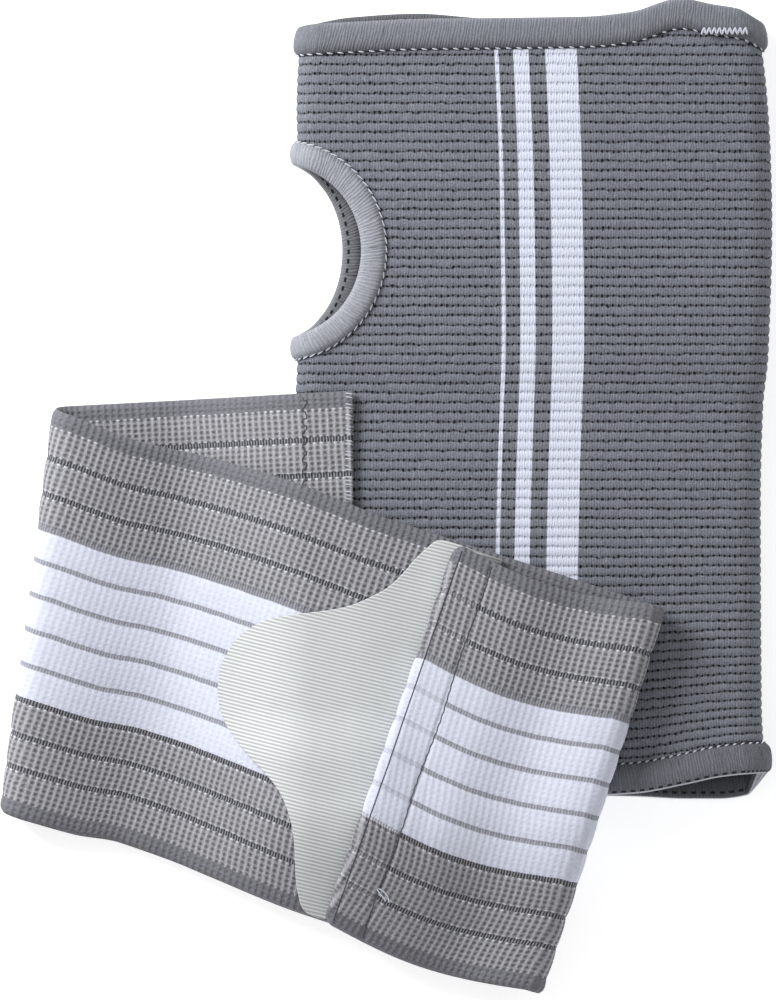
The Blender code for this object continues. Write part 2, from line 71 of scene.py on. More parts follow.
LEFT_LOOP_RADIUS = 0.0036
RIGHT_LOOP_RADIUS = 0.0026
LAYER_GAP = 0.0006
LEFT_FOLD_TOP = (-0.0613, 0.01653)
RIGHT_FOLD_TOP = (0.0501, -0.0208)
HEM_TOP = (0.0126, -0.0094)
SEWN_END = 0.011
HEM_GAP = 0.0003
HEM_RETURN = 0.0095
HEM_TUCK = 0.0015
VALLEY_DISTANCE = 0.025
VALLEY_SKEW = 0.0045
SLEEVE_EDGE_RUN = 0.024
SLEEVE_EDGE_REST = 0.0035
STRAP_DROOP = 0.032
BRIDGE_RUN = 0.014
TOP_LAYER_SAG = 0.0018
TOP_LAYER_SIDE_SAG = 0.0022
HEM_GATHER = 0.0009
TAB_THICKNESS = 0.001
TAB_REACH = 0.0339
TAB_ROOT = 0.0085
TAB_SEAT = 0.0006
TAPE_RISE = GAP + TAPE_THICKNESS

# How finely the visible surfaces are divided
COURSES = 82
COURSE_PITCH = 0.00178
COURSES_THAT_TILT = 30
COURSE_POINTS = (0.0, 0.12, 0.36, 0.64, 0.88)
WALE = 0.00102
FOLD_STEPS = 7
FLAT_STEPS = 36
TAPE_STEPS = 1100
STRAP_ACROSS_STEPS = 110

SECTION_COLUMNS = ("along", "left_out", "right_out", "height", "crown", "lift")
SECTIONS = (
    (0.00, 0.000, 0.001, 0.89, 0.0, 1.0),
    (0.05, 0.000, -0.005, 0.90, 0.3, 1.0),
    (0.12, 0.000, -0.010, 1.00, 0.9, 0.0),
    (0.38, 0.000, -0.012, 1.00, 1.0, 0.0),
    (0.50, -0.003, -0.007, 1.00, 1.0, 0.0),
    (0.57, -0.008, 0.004, 0.94, 1.0, 1.0),
    (0.74, -0.009, 0.012, 0.92, 1.0, 1.0),
    (0.84, -0.008, 0.008, 0.92, 1.0, 1.0),
    (0.88, -0.006, 0.004, 0.92, 1.0, 1.0),
    (0.93, -0.008, -0.003, 0.91, 0.8, 1.0),
    (1.00, -0.022, -0.019, 0.89, 0.4, 1.0),
)
END_COLUMNS = ("across", "hand_front", "hand_back", "wrist_front", "wrist_back")
ENDS = (
    (0.00, -0.006, -0.006, 0.000, 0.000),
    (0.10, -0.003, 0.005, 0.000, 0.002),
    (0.25, 0.001, 0.010, 0.000, 0.003),
    (0.40, 0.002, 0.004, 0.000, 0.003),
    (0.62, 0.004, 0.002, 0.000, 0.001),
    (0.72, 0.010, 0.004, -0.003, 0.002),
    (0.83, 0.0275, 0.010, -0.015, 0.005),
    (0.90, 0.020, 0.013, -0.024, 0.005),
    (0.96, 0.014, 0.013, -0.028, 0.000),
    (1.00, 0.000, 0.000, -0.029, -0.029),
)
TAB_COLUMNS = ("reach", "upper", "lower")
TAB_EDGES = (
    (0.00, 0.517, -0.472),
    (0.06, 0.516, -0.478),
    (0.12, 0.509, -0.475),
    (0.16, 0.480, -0.464),
    (0.19, 0.455, -0.444),
    (0.235, 0.403, -0.406),
    (0.29, 0.356, -0.340),
    (0.345, 0.328, -0.285),
    (0.41, 0.299, -0.242),
    (0.48, 0.275, -0.208),
    (0.59, 0.247, -0.176),
    (0.70, 0.222, -0.150),
    (0.83, 0.188, -0.112),
    (0.90, 0.159, -0.081),
    (0.97, 0.106, -0.026),
    (1.00, 0.042, 0.032),
)

WAVE_COLUMNS = ("along", "upper", "lower")
WAVES = (
    (0.00, 0.0000, 0.0000),
    (0.10, 0.0007, -0.0004),
    (0.19, -0.0001, -0.0016),
    (0.28, -0.0008, -0.0015),
    (0.37, -0.0010, -0.0010),
    (0.56, 0.0000, 0.0000),
    (1.00, 0.0000, 0.0000),
)

# White stripes of the sleeve: how far each sways to the right, in metres, along the sleeve
SWAY_COLUMNS = ("along", "sway")
SWAY = (
    (0.00, -0.0006),
    (0.25, -0.0004),
    (0.40, 0.0000),
    (0.60, 0.0008),
    (0.80, 0.0004),
    (1.00, -0.0008),
)
STRIPES = (
    (0.0205, 0.0003),
    (0.0250, 0.00135),
    (0.0324, 0.00285),
)

# Lines woven along the strap, as shares of its width; their half widths and kinds are set where the
# strap's material is built
STRAP_LINES = (0.042, 0.118, 0.207, 0.287, 0.371, 0.456, 0.542, 0.628, 0.714, 0.800, 0.880, 0.960)
RIB_PITCH = 0.00127

# Seams, threads and ridges that only show on the finished piece
HEM_SEAMS = (0.0015, 0.0082)
SEWN_SEAM = 0.0088
OVERLOCK_LOOPS = 78
TACK_START = 0.0577
TACK_PITCH = 0.00095
TACK_LOOPS = 9
TACK_LINE = 0.0863
TAB_RIDGE_PITCH = 0.00066
TAB_RIDGES_DOWN = math.radians(14)

# Light and camera
FLOOR_GLOW = 0.62
WORLD_STRENGTH = 0.46
KEY_SPOT = (-0.42, 0.36, 0.40)
KEY_SIZE = 0.28
KEY_POWER = 4.3
CAMERA_HEIGHT = 2.0
FOCUS_HEIGHT = 0.006
PICTURE_HEIGHT = 0.1847


def smooth(rows, columns, name, at):
    """A table's named column at shares in its first one, on a curve without overshoot."""
    shares = np.array([row[0] for row in rows])
    values = np.array([row[columns.index(name)] for row in rows])
    rise = np.diff(values) / np.diff(shares)
    same_way = rise[:-1] * rise[1:] > 0
    between = 2 * rise[:-1] * rise[1:] / np.where(same_way, rise[:-1] + rise[1:], 1)
    slopes = np.concatenate([rise[:1], np.where(same_way, between, 0), rise[-1:]])
    at = np.clip(at, shares[0], shares[-1])
    low = np.clip(np.searchsorted(shares, at, side="right") - 1, 0, len(rows) - 2)
    span = shares[low + 1] - shares[low]
    u = (at - shares[low]) / span
    from_low = (1 + 2 * u) * (1 - u) ** 2 * values[low] + u * (1 - u) ** 2 * span * slopes[low]
    to_high = u**2 * (3 - 2 * u) * values[low + 1] + u**2 * (u - 1) * span * slopes[low + 1]
    return from_low + to_high


def ease(start, end, at):
    """0 before start, 1 after end, and a smooth rise between."""
    u = np.clip((at - start) / (end - start), 0, 1)
    return u * u * (3 - 2 * u)


def direction(angle):
    return np.array([math.cos(angle), math.sin(angle)])


def section(y):
    """The sleeve's section at y: its left and right edges, underside, fold radius and crown."""
    along = (y - SLEEVE_WRIST_END) / SLEEVE_LENGTH

    def column(name):
        return smooth(SECTIONS, SECTION_COLUMNS, name, along)

    left = SLEEVE_LEFT - column("left_out") * SLEEVE_WIDTH
    right = SLEEVE_LEFT + (1 + column("right_out")) * SLEEVE_WIDTH
    radius = column("height") * SLEEVE_HEIGHT / 2
    low = column("lift") * TAPE_RISE
    return left, right, low, radius, column("crown") * SLEEVE_CROWN


def sleeve_top(x, y):
    """The height of the sleeve's front panel away from its folds."""
    left, right, low, radius, crown = section(y)
    across = np.clip((x - (left + right) / 2) / ((right - left) / 2), -1, 1)
    return low + 2 * radius + crown * (1 - across**2)


def sleeve_point(around, y, out):
    """A point near the sleeve's outer face, around it from the left fold: front positive."""
    left, right, low, radius, crown = section(y)
    quarter = math.pi / 2 * radius
    flat = right - left - 2 * radius
    distance = np.abs(around)
    from_left = np.clip(distance, 0, quarter) / radius
    from_right = np.clip(2 * quarter + flat - distance, 0, quarter) / radius
    reach = radius + out
    x_left = left + radius - reach * np.cos(from_left) + np.clip(distance - quarter, 0, flat)
    x = np.where(distance > quarter + flat, right - radius + reach * np.cos(from_right), x_left)
    rise = np.sin(np.where(distance > quarter + flat, from_right, from_left))
    middle = (left + right) / 2
    dome = crown * (1 - np.clip((x - middle) / ((right - left) / 2), -1, 1) ** 2) * rise
    z = low + radius + np.sign(around) * reach * rise + np.where(around > 0, dome, 0)
    return np.stack([x, y + 0 * x, z], axis=-1)


def ring_distance(share, y):
    """Distance over the knit, and share across, for shares round the sleeve from 0 to 1."""
    left, right, _, radius, _ = section(y)
    quarter = math.pi / 2 * radius
    flat = right - left - 2 * radius
    half = 2 * FOLD_STEPS + FLAT_STEPS
    step = share * 2 * half
    step = np.where(step <= half, step, 2 * half - step)
    in_left = np.clip(step, 0, FOLD_STEPS) / FOLD_STEPS
    in_flat = np.clip(step - FOLD_STEPS, 0, FLAT_STEPS) / FLAT_STEPS
    in_right = np.clip(step - FOLD_STEPS - FLAT_STEPS, 0, FOLD_STEPS) / FOLD_STEPS
    distance = quarter * (in_left + in_right) + flat * in_flat
    arc = radius * (1 - np.cos(in_left * math.pi / 2)) + radius * np.sin(in_right * math.pi / 2)
    across = (arc + flat * in_flat) / (right - left)
    return np.where(share <= 0.5, distance, -distance), across


def end_line(share, end):
    """How far along Y the finished hand or wrist end lies, for shares round the sleeve."""
    _, across = ring_distance(share, np.full(share.shape, SLEEVE_WRIST_END))
    ahead = smooth(ENDS, END_COLUMNS, end + "_front", across)
    behind = smooth(ENDS, END_COLUMNS, end + "_back", across)
    stand = np.where(share <= 0.5, ahead, behind) * SLEEVE_LENGTH
    if end == "hand":
        return SLEEVE_WRIST_END + SLEEVE_LENGTH + stand
    return SLEEVE_WRIST_END - stand


def hole_loop(angle, spread):
    """Where the thumb hole's edge lies, grown by spread, as distance over the knit and y."""
    side = np.sin(angle)
    reach = np.where(side > 0, THUMB_HOLE_FRONT_REACH, THUMB_HOLE_BACK_REACH)
    middle = SLEEVE_WRIST_END + THUMB_HOLE_FROM_WRIST_END
    return side * (reach + spread), middle + (THUMB_HOLE_HALF_LENGTH + spread) * np.cos(angle)


def on_sleeve(x, y):
    """1 where the strap lies over the sleeve, easing to 0 where it has come down beside it."""
    beside = ease(SLEEVE_LEFT - SLEEVE_EDGE_RUN, SLEEVE_LEFT + SLEEVE_EDGE_REST, x)
    end = SLEEVE_WRIST_END - 0.0015
    return beside * ease(end - STRAP_DROOP, end, y)


def carrying_top(x, y):
    """The height of what the strap lies on: the front panel, and the tape on its wrist end."""
    inward = np.maximum(y - SLEEVE_WRIST_END, 0)
    tape = TAPE_RISE * (1 - ease(END_TAPE_WIDTH, 3 * END_TAPE_WIDTH, inward))
    return sleeve_top(np.maximum(x, SLEEVE_LEFT), SLEEVE_WRIST_END + inward) + tape


def low_run_height(x, y):
    """The middle of the strap's lowest run, from its sewn end to the left loop."""
    beside = ease(SLEEVE_LEFT - SLEEVE_EDGE_RUN, SLEEVE_LEFT + SLEEVE_EDGE_REST, x)
    return STRAP_THICKNESS / 2 + beside * (carrying_top(x, y) + GAP)


def middle_run_height(x, y):
    """The middle of the long run that crosses the sleeve."""
    down = STRAP_THICKNESS * 1.5 + LAYER_GAP
    over = SLEEVE_HEIGHT + SLEEVE_CROWN + 2 * GAP + STRAP_THICKNESS / 2
    sewn_edge = SLEEVE_LEFT + SEWN_END
    over_sewn = carrying_top(sewn_edge, y) + GAP + STRAP_THICKNESS * 1.5 + LAYER_GAP
    over = over_sewn + (over - over_sewn) * ease(sewn_edge, sewn_edge + BRIDGE_RUN, x)
    axis = direction(math.pi / 2 - LEFT_FOLD_LEAN)
    outward = np.array([-axis[1], axis[0]])
    from_top = (x - LEFT_FOLD_TOP[0], y - LEFT_FOLD_TOP[1])
    inward = -(from_top[0] * outward[0] + from_top[1] * outward[1]) - LEFT_LOOP_RADIUS
    below = -(from_top[0] * axis[0] + from_top[1] * axis[1]) / STRAP_WIDTH
    valley = VALLEY_DISTANCE + VALLEY_SKEW * (1 - 2 * np.clip(below, 0, 1))
    loop = (2 * LEFT_LOOP_RADIUS - STRAP_THICKNESS - LAYER_GAP) * (1 - ease(0, valley, inward))
    return down + (over - down) * on_sleeve(x, y) + loop


def over_middle_run(x, y, stand):
    """A height that keeps stand, square to the slope, over the middle of the long run."""
    step = 0.0005
    height = middle_run_height(x, y)
    slope_x = (middle_run_height(x + step, y) - height) / step
    slope_y = (middle_run_height(x, y + step) - height) / step
    return height + stand * np.sqrt(1 + slope_x**2 + slope_y**2)


def top_run_height(x, y, inward, length):
    """The middle of the run that lies back on top, inward from the right loop to the hem."""
    sagging = np.clip(inward / (length - HEM_RETURN * 1.2), 0, 1)
    over_tab = 2 * STRAP_THICKNESS + HEM_GAP + GAP + TAB_THICKNESS + TAB_SEAT
    apart = 2 * RIGHT_LOOP_RADIUS + (over_tab - 2 * RIGHT_LOOP_RADIUS) * ease(0, 1, sagging)
    return over_middle_run(x, y, apart - TOP_LAYER_SAG * np.sin(math.pi * sagging) ** 2)


def turn(start, travel, axis, outward, radius, distance):
    """Follows a flat strip round a loop: its plan position and how far round it is."""
    across = distance * (travel @ outward)
    angle = np.clip(across / radius, 0, math.pi)
    excursion = radius * np.sin(angle) - np.maximum(across - math.pi * radius, 0)
    along = distance * (travel @ axis)
    return start + along[..., None] * axis + excursion[..., None] * outward, angle


def meet(point, travel, on_line, line):
    """How far from each point, along travel, a line through on_line lies."""
    normal = np.array([-line[1], line[0]])
    return ((on_line - point) @ normal) / (travel @ normal)


def strap_middle(across, steps):
    """The middle surface of the strap, its distance along the weave, and its stations.

    steps names how many rows each stretch has. The last array says, for each row, which
    stretch it is in: 0 low run, 1 left loop, 2 long run, 3 right loop, 4 top run, 5 hem.
    """
    travel = direction(-STRAP_AXIS_DOWN)
    down = np.array([travel[1], -travel[0]])
    left_axis = direction(math.pi / 2 - LEFT_FOLD_LEAN)
    right_axis = direction(math.pi / 2 - RIGHT_FOLD_LEAN)
    left_out = np.array([-left_axis[1], left_axis[0]])
    right_out = np.array([right_axis[1], -right_axis[0]])
    upper = np.array(LEFT_FOLD_TOP)
    left_line = upper + across[..., None] * down
    right_line = upper + RIGHT_SPREAD * across[..., None] * down
    left_tangent = upper - LEFT_LOOP_RADIUS * left_out
    right_tangent = np.array(RIGHT_FOLD_TOP) - RIGHT_LOOP_RADIUS * right_out
    to_left = meet(left_line, travel, left_tangent, left_axis)
    to_right = meet(right_line, travel, right_tangent, right_axis)
    at_left = left_line + to_left[..., None] * travel
    at_right = right_line + to_right[..., None] * travel
    rows, stations = [], []

    def keep(plan, height, station):
        rows.append(np.column_stack([plan, height]))
        stations.append(station)

    low_way = -2 * (travel @ left_axis) * left_axis + travel
    end_x = SLEEVE_LEFT + SEWN_END
    leave = math.pi * LEFT_LOOP_RADIUS / (-travel @ left_out)
    back, _ = turn(at_left, -travel, left_axis, left_out, LEFT_LOOP_RADIUS, leave + 0 * across)
    run = (end_x - back[:, 0]) / low_way[0]
    for share in np.linspace(1, 0, steps["low"] + 1)[:-1]:
        plan = back + (run * share)[:, None] * low_way
        keep(plan, low_run_height(plan[:, 0], plan[:, 1]), 0)

    for share in np.linspace(1, 0, steps["loop"] + 1):
        distance = leave * share + 0 * across
        plan, angle = turn(at_left, -travel, left_axis, left_out, LEFT_LOOP_RADIUS, distance)
        low = low_run_height(plan[:, 0], plan[:, 1])
        high = middle_run_height(plan[:, 0], plan[:, 1])
        keep(plan, (low + high + (high - low) * np.cos(angle)) / 2, 1)

    for share in np.linspace(0, 1, steps["long"] + 1)[1:-1]:
        upper_side = smooth(WAVES, WAVE_COLUMNS, "upper", share)
        lower_side = smooth(WAVES, WAVE_COLUMNS, "lower", share)
        aside = upper_side + (lower_side - upper_side) * across / STRAP_WIDTH
        plan = at_left + (at_right - at_left) * share + aside[:, None] * down
        keep(plan, middle_run_height(plan[:, 0], plan[:, 1]), 2)

    hem_line = direction(math.pi / 2 - HEM_LEAN)
    hem_out = np.array([-hem_line[1], hem_line[0]])
    hem_radius = (STRAP_THICKNESS + HEM_GAP) / 2
    leave = math.pi * RIGHT_LOOP_RADIUS / (travel @ right_out)
    back, _ = turn(at_right, travel, right_axis, right_out, RIGHT_LOOP_RADIUS, leave + 0 * across)
    top_way = 2 * (travel @ right_axis) * right_axis - travel
    hem_start = np.array(HEM_TOP) - hem_radius * hem_out
    run = meet(back, top_way, hem_start, hem_line)
    length = run * (top_way @ -right_out)

    def side_sag(inward):
        bend = np.sin(math.pi * np.clip(inward / length, 0, 1))
        gather = HEM_GATHER * across / STRAP_WIDTH * np.clip(inward / length, 0, 1)
        return (gather - TOP_LAYER_SIDE_SAG * bend)[:, None] * right_axis

    for share in np.linspace(0, 1, steps["loop"] + 1):
        distance = leave * share + 0 * across
        plan, angle = turn(at_right, travel, right_axis, right_out, RIGHT_LOOP_RADIUS, distance)
        low = middle_run_height(plan[:, 0], plan[:, 1])
        high = over_middle_run(plan[:, 0], plan[:, 1], 2 * RIGHT_LOOP_RADIUS)
        keep(plan, (low + high - (high - low) * np.cos(angle)) / 2, 3)

    for share in np.linspace(0, 1, steps["top"] + 1)[1:]:
        inward = length * share
        plan = back + (run * share)[:, None] * top_way + side_sag(inward)
        keep(plan, top_run_height(plan[:, 0], plan[:, 1], inward, length), 4)

    at_hem = back + run[:, None] * top_way
    leave = math.pi * hem_radius / (top_way @ hem_out)
    under = HEM_RETURN / (top_way @ hem_out)
    turned = list(np.linspace(0, leave, steps["hem"] + 1)[1:])
    returned = [leave + under * part for part in np.linspace(0, 1, steps["return"] + 1)[1:]]
    for distance in turned + returned:
        plan, angle = turn(at_hem, top_way, hem_line, hem_out, hem_radius, distance + 0 * across)
        aside = ((plan - at_hem.mean(axis=0)) @ hem_line) / (STRAP_WIDTH / 2)
        plan = plan - (HEM_TUCK * aside * angle / math.pi)[:, None] * hem_line
        inward = length - (plan - at_hem) @ right_out
        plan = plan + side_sag(inward)
        height = top_run_height(plan[:, 0], plan[:, 1], inward, length)
        keep(plan, height - hem_radius * (1 - np.cos(angle)), 5)

    middle = np.array(rows)
    stations = np.array(stations)
    stretch = np.linalg.norm(np.diff(middle, axis=0), axis=-1)
    travelled = np.concatenate([np.zeros((1, len(across))), np.cumsum(stretch, axis=0)])
    anchor = np.argmax(stations == 2)
    on_weave = (middle[anchor, :, :2] - upper) @ travel
    along = travelled - travelled[anchor] + on_weave
    return middle, along, stations


def strap_frame(middle):
    """The strap's unit normals: up on the low run's upper side when it is followed from its end."""
    lengthwise = np.gradient(middle, axis=0)
    crosswise = np.gradient(middle, axis=1)
    normal = np.cross(crosswise, lengthwise)
    return normal / np.linalg.norm(normal, axis=-1, keepdims=True)


COARSE_STEPS = {"low": 10, "loop": 8, "long": 24, "top": 9, "hem": 8, "return": 3}


def frame_shift():
    """How far the solids were moved when they were centred on the floor."""
    middle, _, _ = strap_middle(np.linspace(0, STRAP_WIDTH, 15), COARSE_STEPS)
    normal = strap_frame(middle)
    faces = np.concatenate([middle + normal * STRAP_THICKNESS / 2, middle - normal * STRAP_THICKNESS / 2])
    low = np.array(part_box("strap")[0])
    return faces.reshape(-1, 3).min(axis=0) - low


SHIFT = frame_shift()


def make_piece(name, points, faces, material, node=None, attributes=None):
    """A piece from arrays, turned to face outwards, riding on the only body."""
    points = np.asarray(points, float).reshape(-1, 3) - SHIFT
    faces = [tuple(dict.fromkeys(face)) for face in np.asarray(faces, int).tolist()]
    faces = [face for face in faces if len(face) > 2]
    first = points[[face[0] for face in faces]]
    second = points[[face[1] for face in faces]]
    third = points[[face[2] for face in faces]]
    fourth = points[[face[-1] for face in faces]]
    volume = np.einsum("ij,ij->i", np.cross(first, second), third).sum()
    volume += np.einsum("ij,ij->i", np.cross(first, third), fourth).sum()
    if volume < 0:
        faces = [face[::-1] for face in faces]
    mesh = bpy.data.meshes.new(name)
    mesh.from_pydata(points.tolist(), [], faces)
    for key, values in (attributes or {}).items():
        made = mesh.attributes.new(key, "FLOAT", "POINT")
        made.data.foreach_set("value", np.asarray(values, np.float32))
    mesh.shade_smooth()
    mesh.materials.append(material)
    piece = bpy.data.objects.new(name, mesh)
    bpy.context.scene.collection.objects.link(piece)
    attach(piece, "root")
    if node:
        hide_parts(node)
    return piece


def grid_quads(rows, columns, start, wrap_rows, wrap_columns):
    """Quads over a grid of points numbered row by row from start."""
    row = np.arange(rows if wrap_rows else rows - 1)[:, None]
    column = np.arange(columns if wrap_columns else columns - 1)[None, :]
    below, above = row * columns, (row + 1) % rows * columns
    beside = (column + 1) % columns
    quads = np.stack([below + column, below + beside, above + beside, above + column], axis=-1)
    return quads.reshape(-1, 4) + start


def close_layers(quads, count):
    """One closed body from a sheet's quads and its twin layer, numbered count further on."""
    edges = np.concatenate([quads[:, [i, (i + 1) % 4]] for i in range(4)])
    edges = edges[edges[:, 0] != edges[:, 1]]
    keys = edges[:, 0] * (2 * count) + edges[:, 1]
    back = edges[:, 1] * (2 * count) + edges[:, 0]
    rim = edges[~np.isin(keys, back)]
    walls = np.column_stack([rim[:, 1], rim[:, 0], rim[:, 0] + count, rim[:, 1] + count])
    return np.concatenate([quads, quads[:, ::-1] + count, walls])


def tube(path, radius, sides=6, closed=False):
    """Points and quads of a thin tube along a path, with closed ends where it is open."""
    path = np.asarray(path, float)
    if closed:
        ahead = np.roll(path, -1, axis=0) - np.roll(path, 1, axis=0)
    else:
        ahead = np.gradient(path, axis=0)
    ahead /= np.linalg.norm(ahead, axis=1, keepdims=True)
    up = np.tile([0.0, 0.0, 1.0], (len(path), 1))
    up[np.abs(ahead[:, 2]) > 0.9] = [0.0, 1.0, 0.0]
    side = np.cross(ahead, up)
    side /= np.linalg.norm(side, axis=1, keepdims=True)
    up = np.cross(side, ahead)
    turned = np.arange(sides) * 2 * math.pi / sides
    radius = np.broadcast_to(radius, (len(path),))
    ring = side[:, None] * np.cos(turned)[:, None] + up[:, None] * np.sin(turned)[:, None]
    points = (path[:, None] + ring * radius[:, None, None]).reshape(-1, 3)
    quads = grid_quads(len(path), sides, 0, closed, True)
    if closed:
        return points, quads
    caps = []
    for row in (0, len(path) - 1):
        middle = len(points)
        points = np.concatenate([points, path[[row]]])
        for i in range(0, sides, 2):
            cap = [middle, row * sides + i, row * sides + i + 1, row * sides + (i + 2) % sides]
            caps.append(cap[::-1] if row == 0 else cap)
    return points, np.concatenate([quads, caps])


def join(parts):
    """Several (points, quads) as one."""
    points, quads, count = [], [], 0
    for some_points, some_quads in parts:
        points.append(some_points)
        quads.append(np.asarray(some_quads) + count)
        count += len(some_points)
    return np.concatenate(points), np.concatenate(quads)


def bead(start, end, radius):
    """A stitch: a rounded bead between two points."""
    share = np.linspace(0, 1, 6)
    path = start + (end - start) * share[:, None]
    return tube(path, radius * np.sqrt(np.maximum(1 - (2 * share - 1) ** 2, 0.1)), 6)


def at_distance(line, distance):
    """Points at distances along a line of points."""
    steps = np.linalg.norm(np.diff(line, axis=0), axis=1)
    length = np.concatenate([[0], np.cumsum(steps)])
    return np.stack([np.interp(distance * length[-1], length, line[:, i]) for i in range(3)], axis=-1)


def stitch_row(name, near_line, far_line, pitch, dash, radius, material):
    """Stitches that slant from one line to the other beside it."""
    length = np.linalg.norm(np.diff(near_line, axis=0), axis=1).sum()
    count = round(length / pitch)
    parts = []
    for step in range(count):
        middle = (step + 0.5) / count
        reach = dash / 2 / length
        start = at_distance(near_line, middle - reach)
        parts.append(bead(start, at_distance(far_line, middle + reach), radius))
    points, quads = join(parts)
    return make_piece(name, points, quads, material)


class Shade:
    """Builds a material's nodes. Each step returns the socket that the next one reads."""

    def __init__(self, name, roughness):
        self.material = bpy.data.materials.new(name)
        self.material.use_nodes = True
        self.tree = self.material.node_tree
        self.shader = self.tree.nodes["Principled BSDF"]
        self.shader.inputs["Roughness"].default_value = roughness

    def put(self, kind, links, settings=None):
        node = self.tree.nodes.new(kind)
        for key, value in (settings or {}).items():
            setattr(node, key, value)
        for key, value in links.items():
            if isinstance(value, bpy.types.NodeSocket):
                self.tree.links.new(value, node.inputs[key])
            else:
                node.inputs[key].default_value = value
        return node

    def attribute(self, name):
        return self.put("ShaderNodeAttribute", {}, {"attribute_name": name}).outputs["Fac"]

    def place(self):
        return self.put("ShaderNodeTexCoord", {}).outputs["Object"]

    def math(self, operation, first, second=0.0, third=0.0):
        links = {0: first, 1: second, 2: third}
        return self.put("ShaderNodeMath", links, {"operation": operation}).outputs[0]

    def noise(self, vector, scale, detail=2.0):
        links = {"Vector": vector, "Scale": scale, "Detail": detail}
        return self.put("ShaderNodeTexNoise", links).outputs["Fac"]

    def vector(self, x, y, z=0.0):
        return self.put("ShaderNodeCombineXYZ", {0: x, 1: y, 2: z}).outputs[0]

    def step(self, value, start, end):
        """0 at start and 1 at end, smoothly."""
        links = {"Value": value, "From Min": start, "From Max": end}
        return self.put("ShaderNodeMapRange", links, {"interpolation_type": "SMOOTHSTEP"}).outputs[0]

    def remap(self, value, low, high):
        """Takes a value from 0..1 to low..high."""
        return self.math("MULTIPLY_ADD", value, high - low, low)

    def mix(self, share, first, second):
        """A colour between two, by share."""
        node = self.put("ShaderNodeMix", {0: share}, {"data_type": "RGBA"})
        for socket, value in ((node.inputs[6], first), (node.inputs[7], second)):
            if isinstance(value, bpy.types.NodeSocket):
                self.tree.links.new(value, socket)
            else:
                socket.default_value = (*value, 1)
        return node.outputs[2]

    def darken(self, colour, share):
        """The colour times a grey level."""
        level = self.put("ShaderNodeCombineColor", {0: share, 1: share, 2: share}).outputs[0]
        node = self.put("ShaderNodeMix", {0: 1.0}, {"data_type": "RGBA", "blend_type": "MULTIPLY"})
        self.tree.links.new(colour, node.inputs[6])
        self.tree.links.new(level, node.inputs[7])
        return node.outputs[2]

    def times(self, first, second):
        return self.math("MULTIPLY", first, second)

    def plus(self, first, second):
        return self.math("ADD", first, second)

    def minus(self, first, second):
        return self.math("SUBTRACT", first, second)

    def fade(self, colour, value, low, high):
        """The colour times a grey level that goes from low to high with the value."""
        return self.darken(colour, self.remap(value, low, high))

    def near(self, value, centre, half, soft):
        """1 within half of centre, falling to 0 over soft."""
        away = self.math("ABSOLUTE", self.math("SUBTRACT", value, centre))
        return self.step(away, half + soft, half)

    def wave(self, value, pitch):
        """A ripple from 0 to 1 with crests a pitch apart."""
        turned = self.math("MULTIPLY", value, 2 * math.pi / pitch)
        return self.remap(self.math("COSINE", turned), 0.5, 1.0)

    def finish(self, colour, height=None, depth=0.0002, strength=1.0):
        self.tree.links.new(colour, self.shader.inputs["Base Color"])
        if height is not None:
            links = {"Height": height, "Distance": depth, "Strength": strength}
            bump = self.put("ShaderNodeBump", links)
            self.tree.links.new(bump.outputs[0], self.shader.inputs["Normal"])
        return self.material


def srgb(red, green, blue):
    """A colour given as 0..255 screen values, in the linear values that shaders take."""
    shares = [channel / 255 for channel in (red, green, blue)]
    return tuple(v / 12.92 if v <= 0.04045 else ((v + 0.055) / 1.055) ** 2.4 for v in shares)


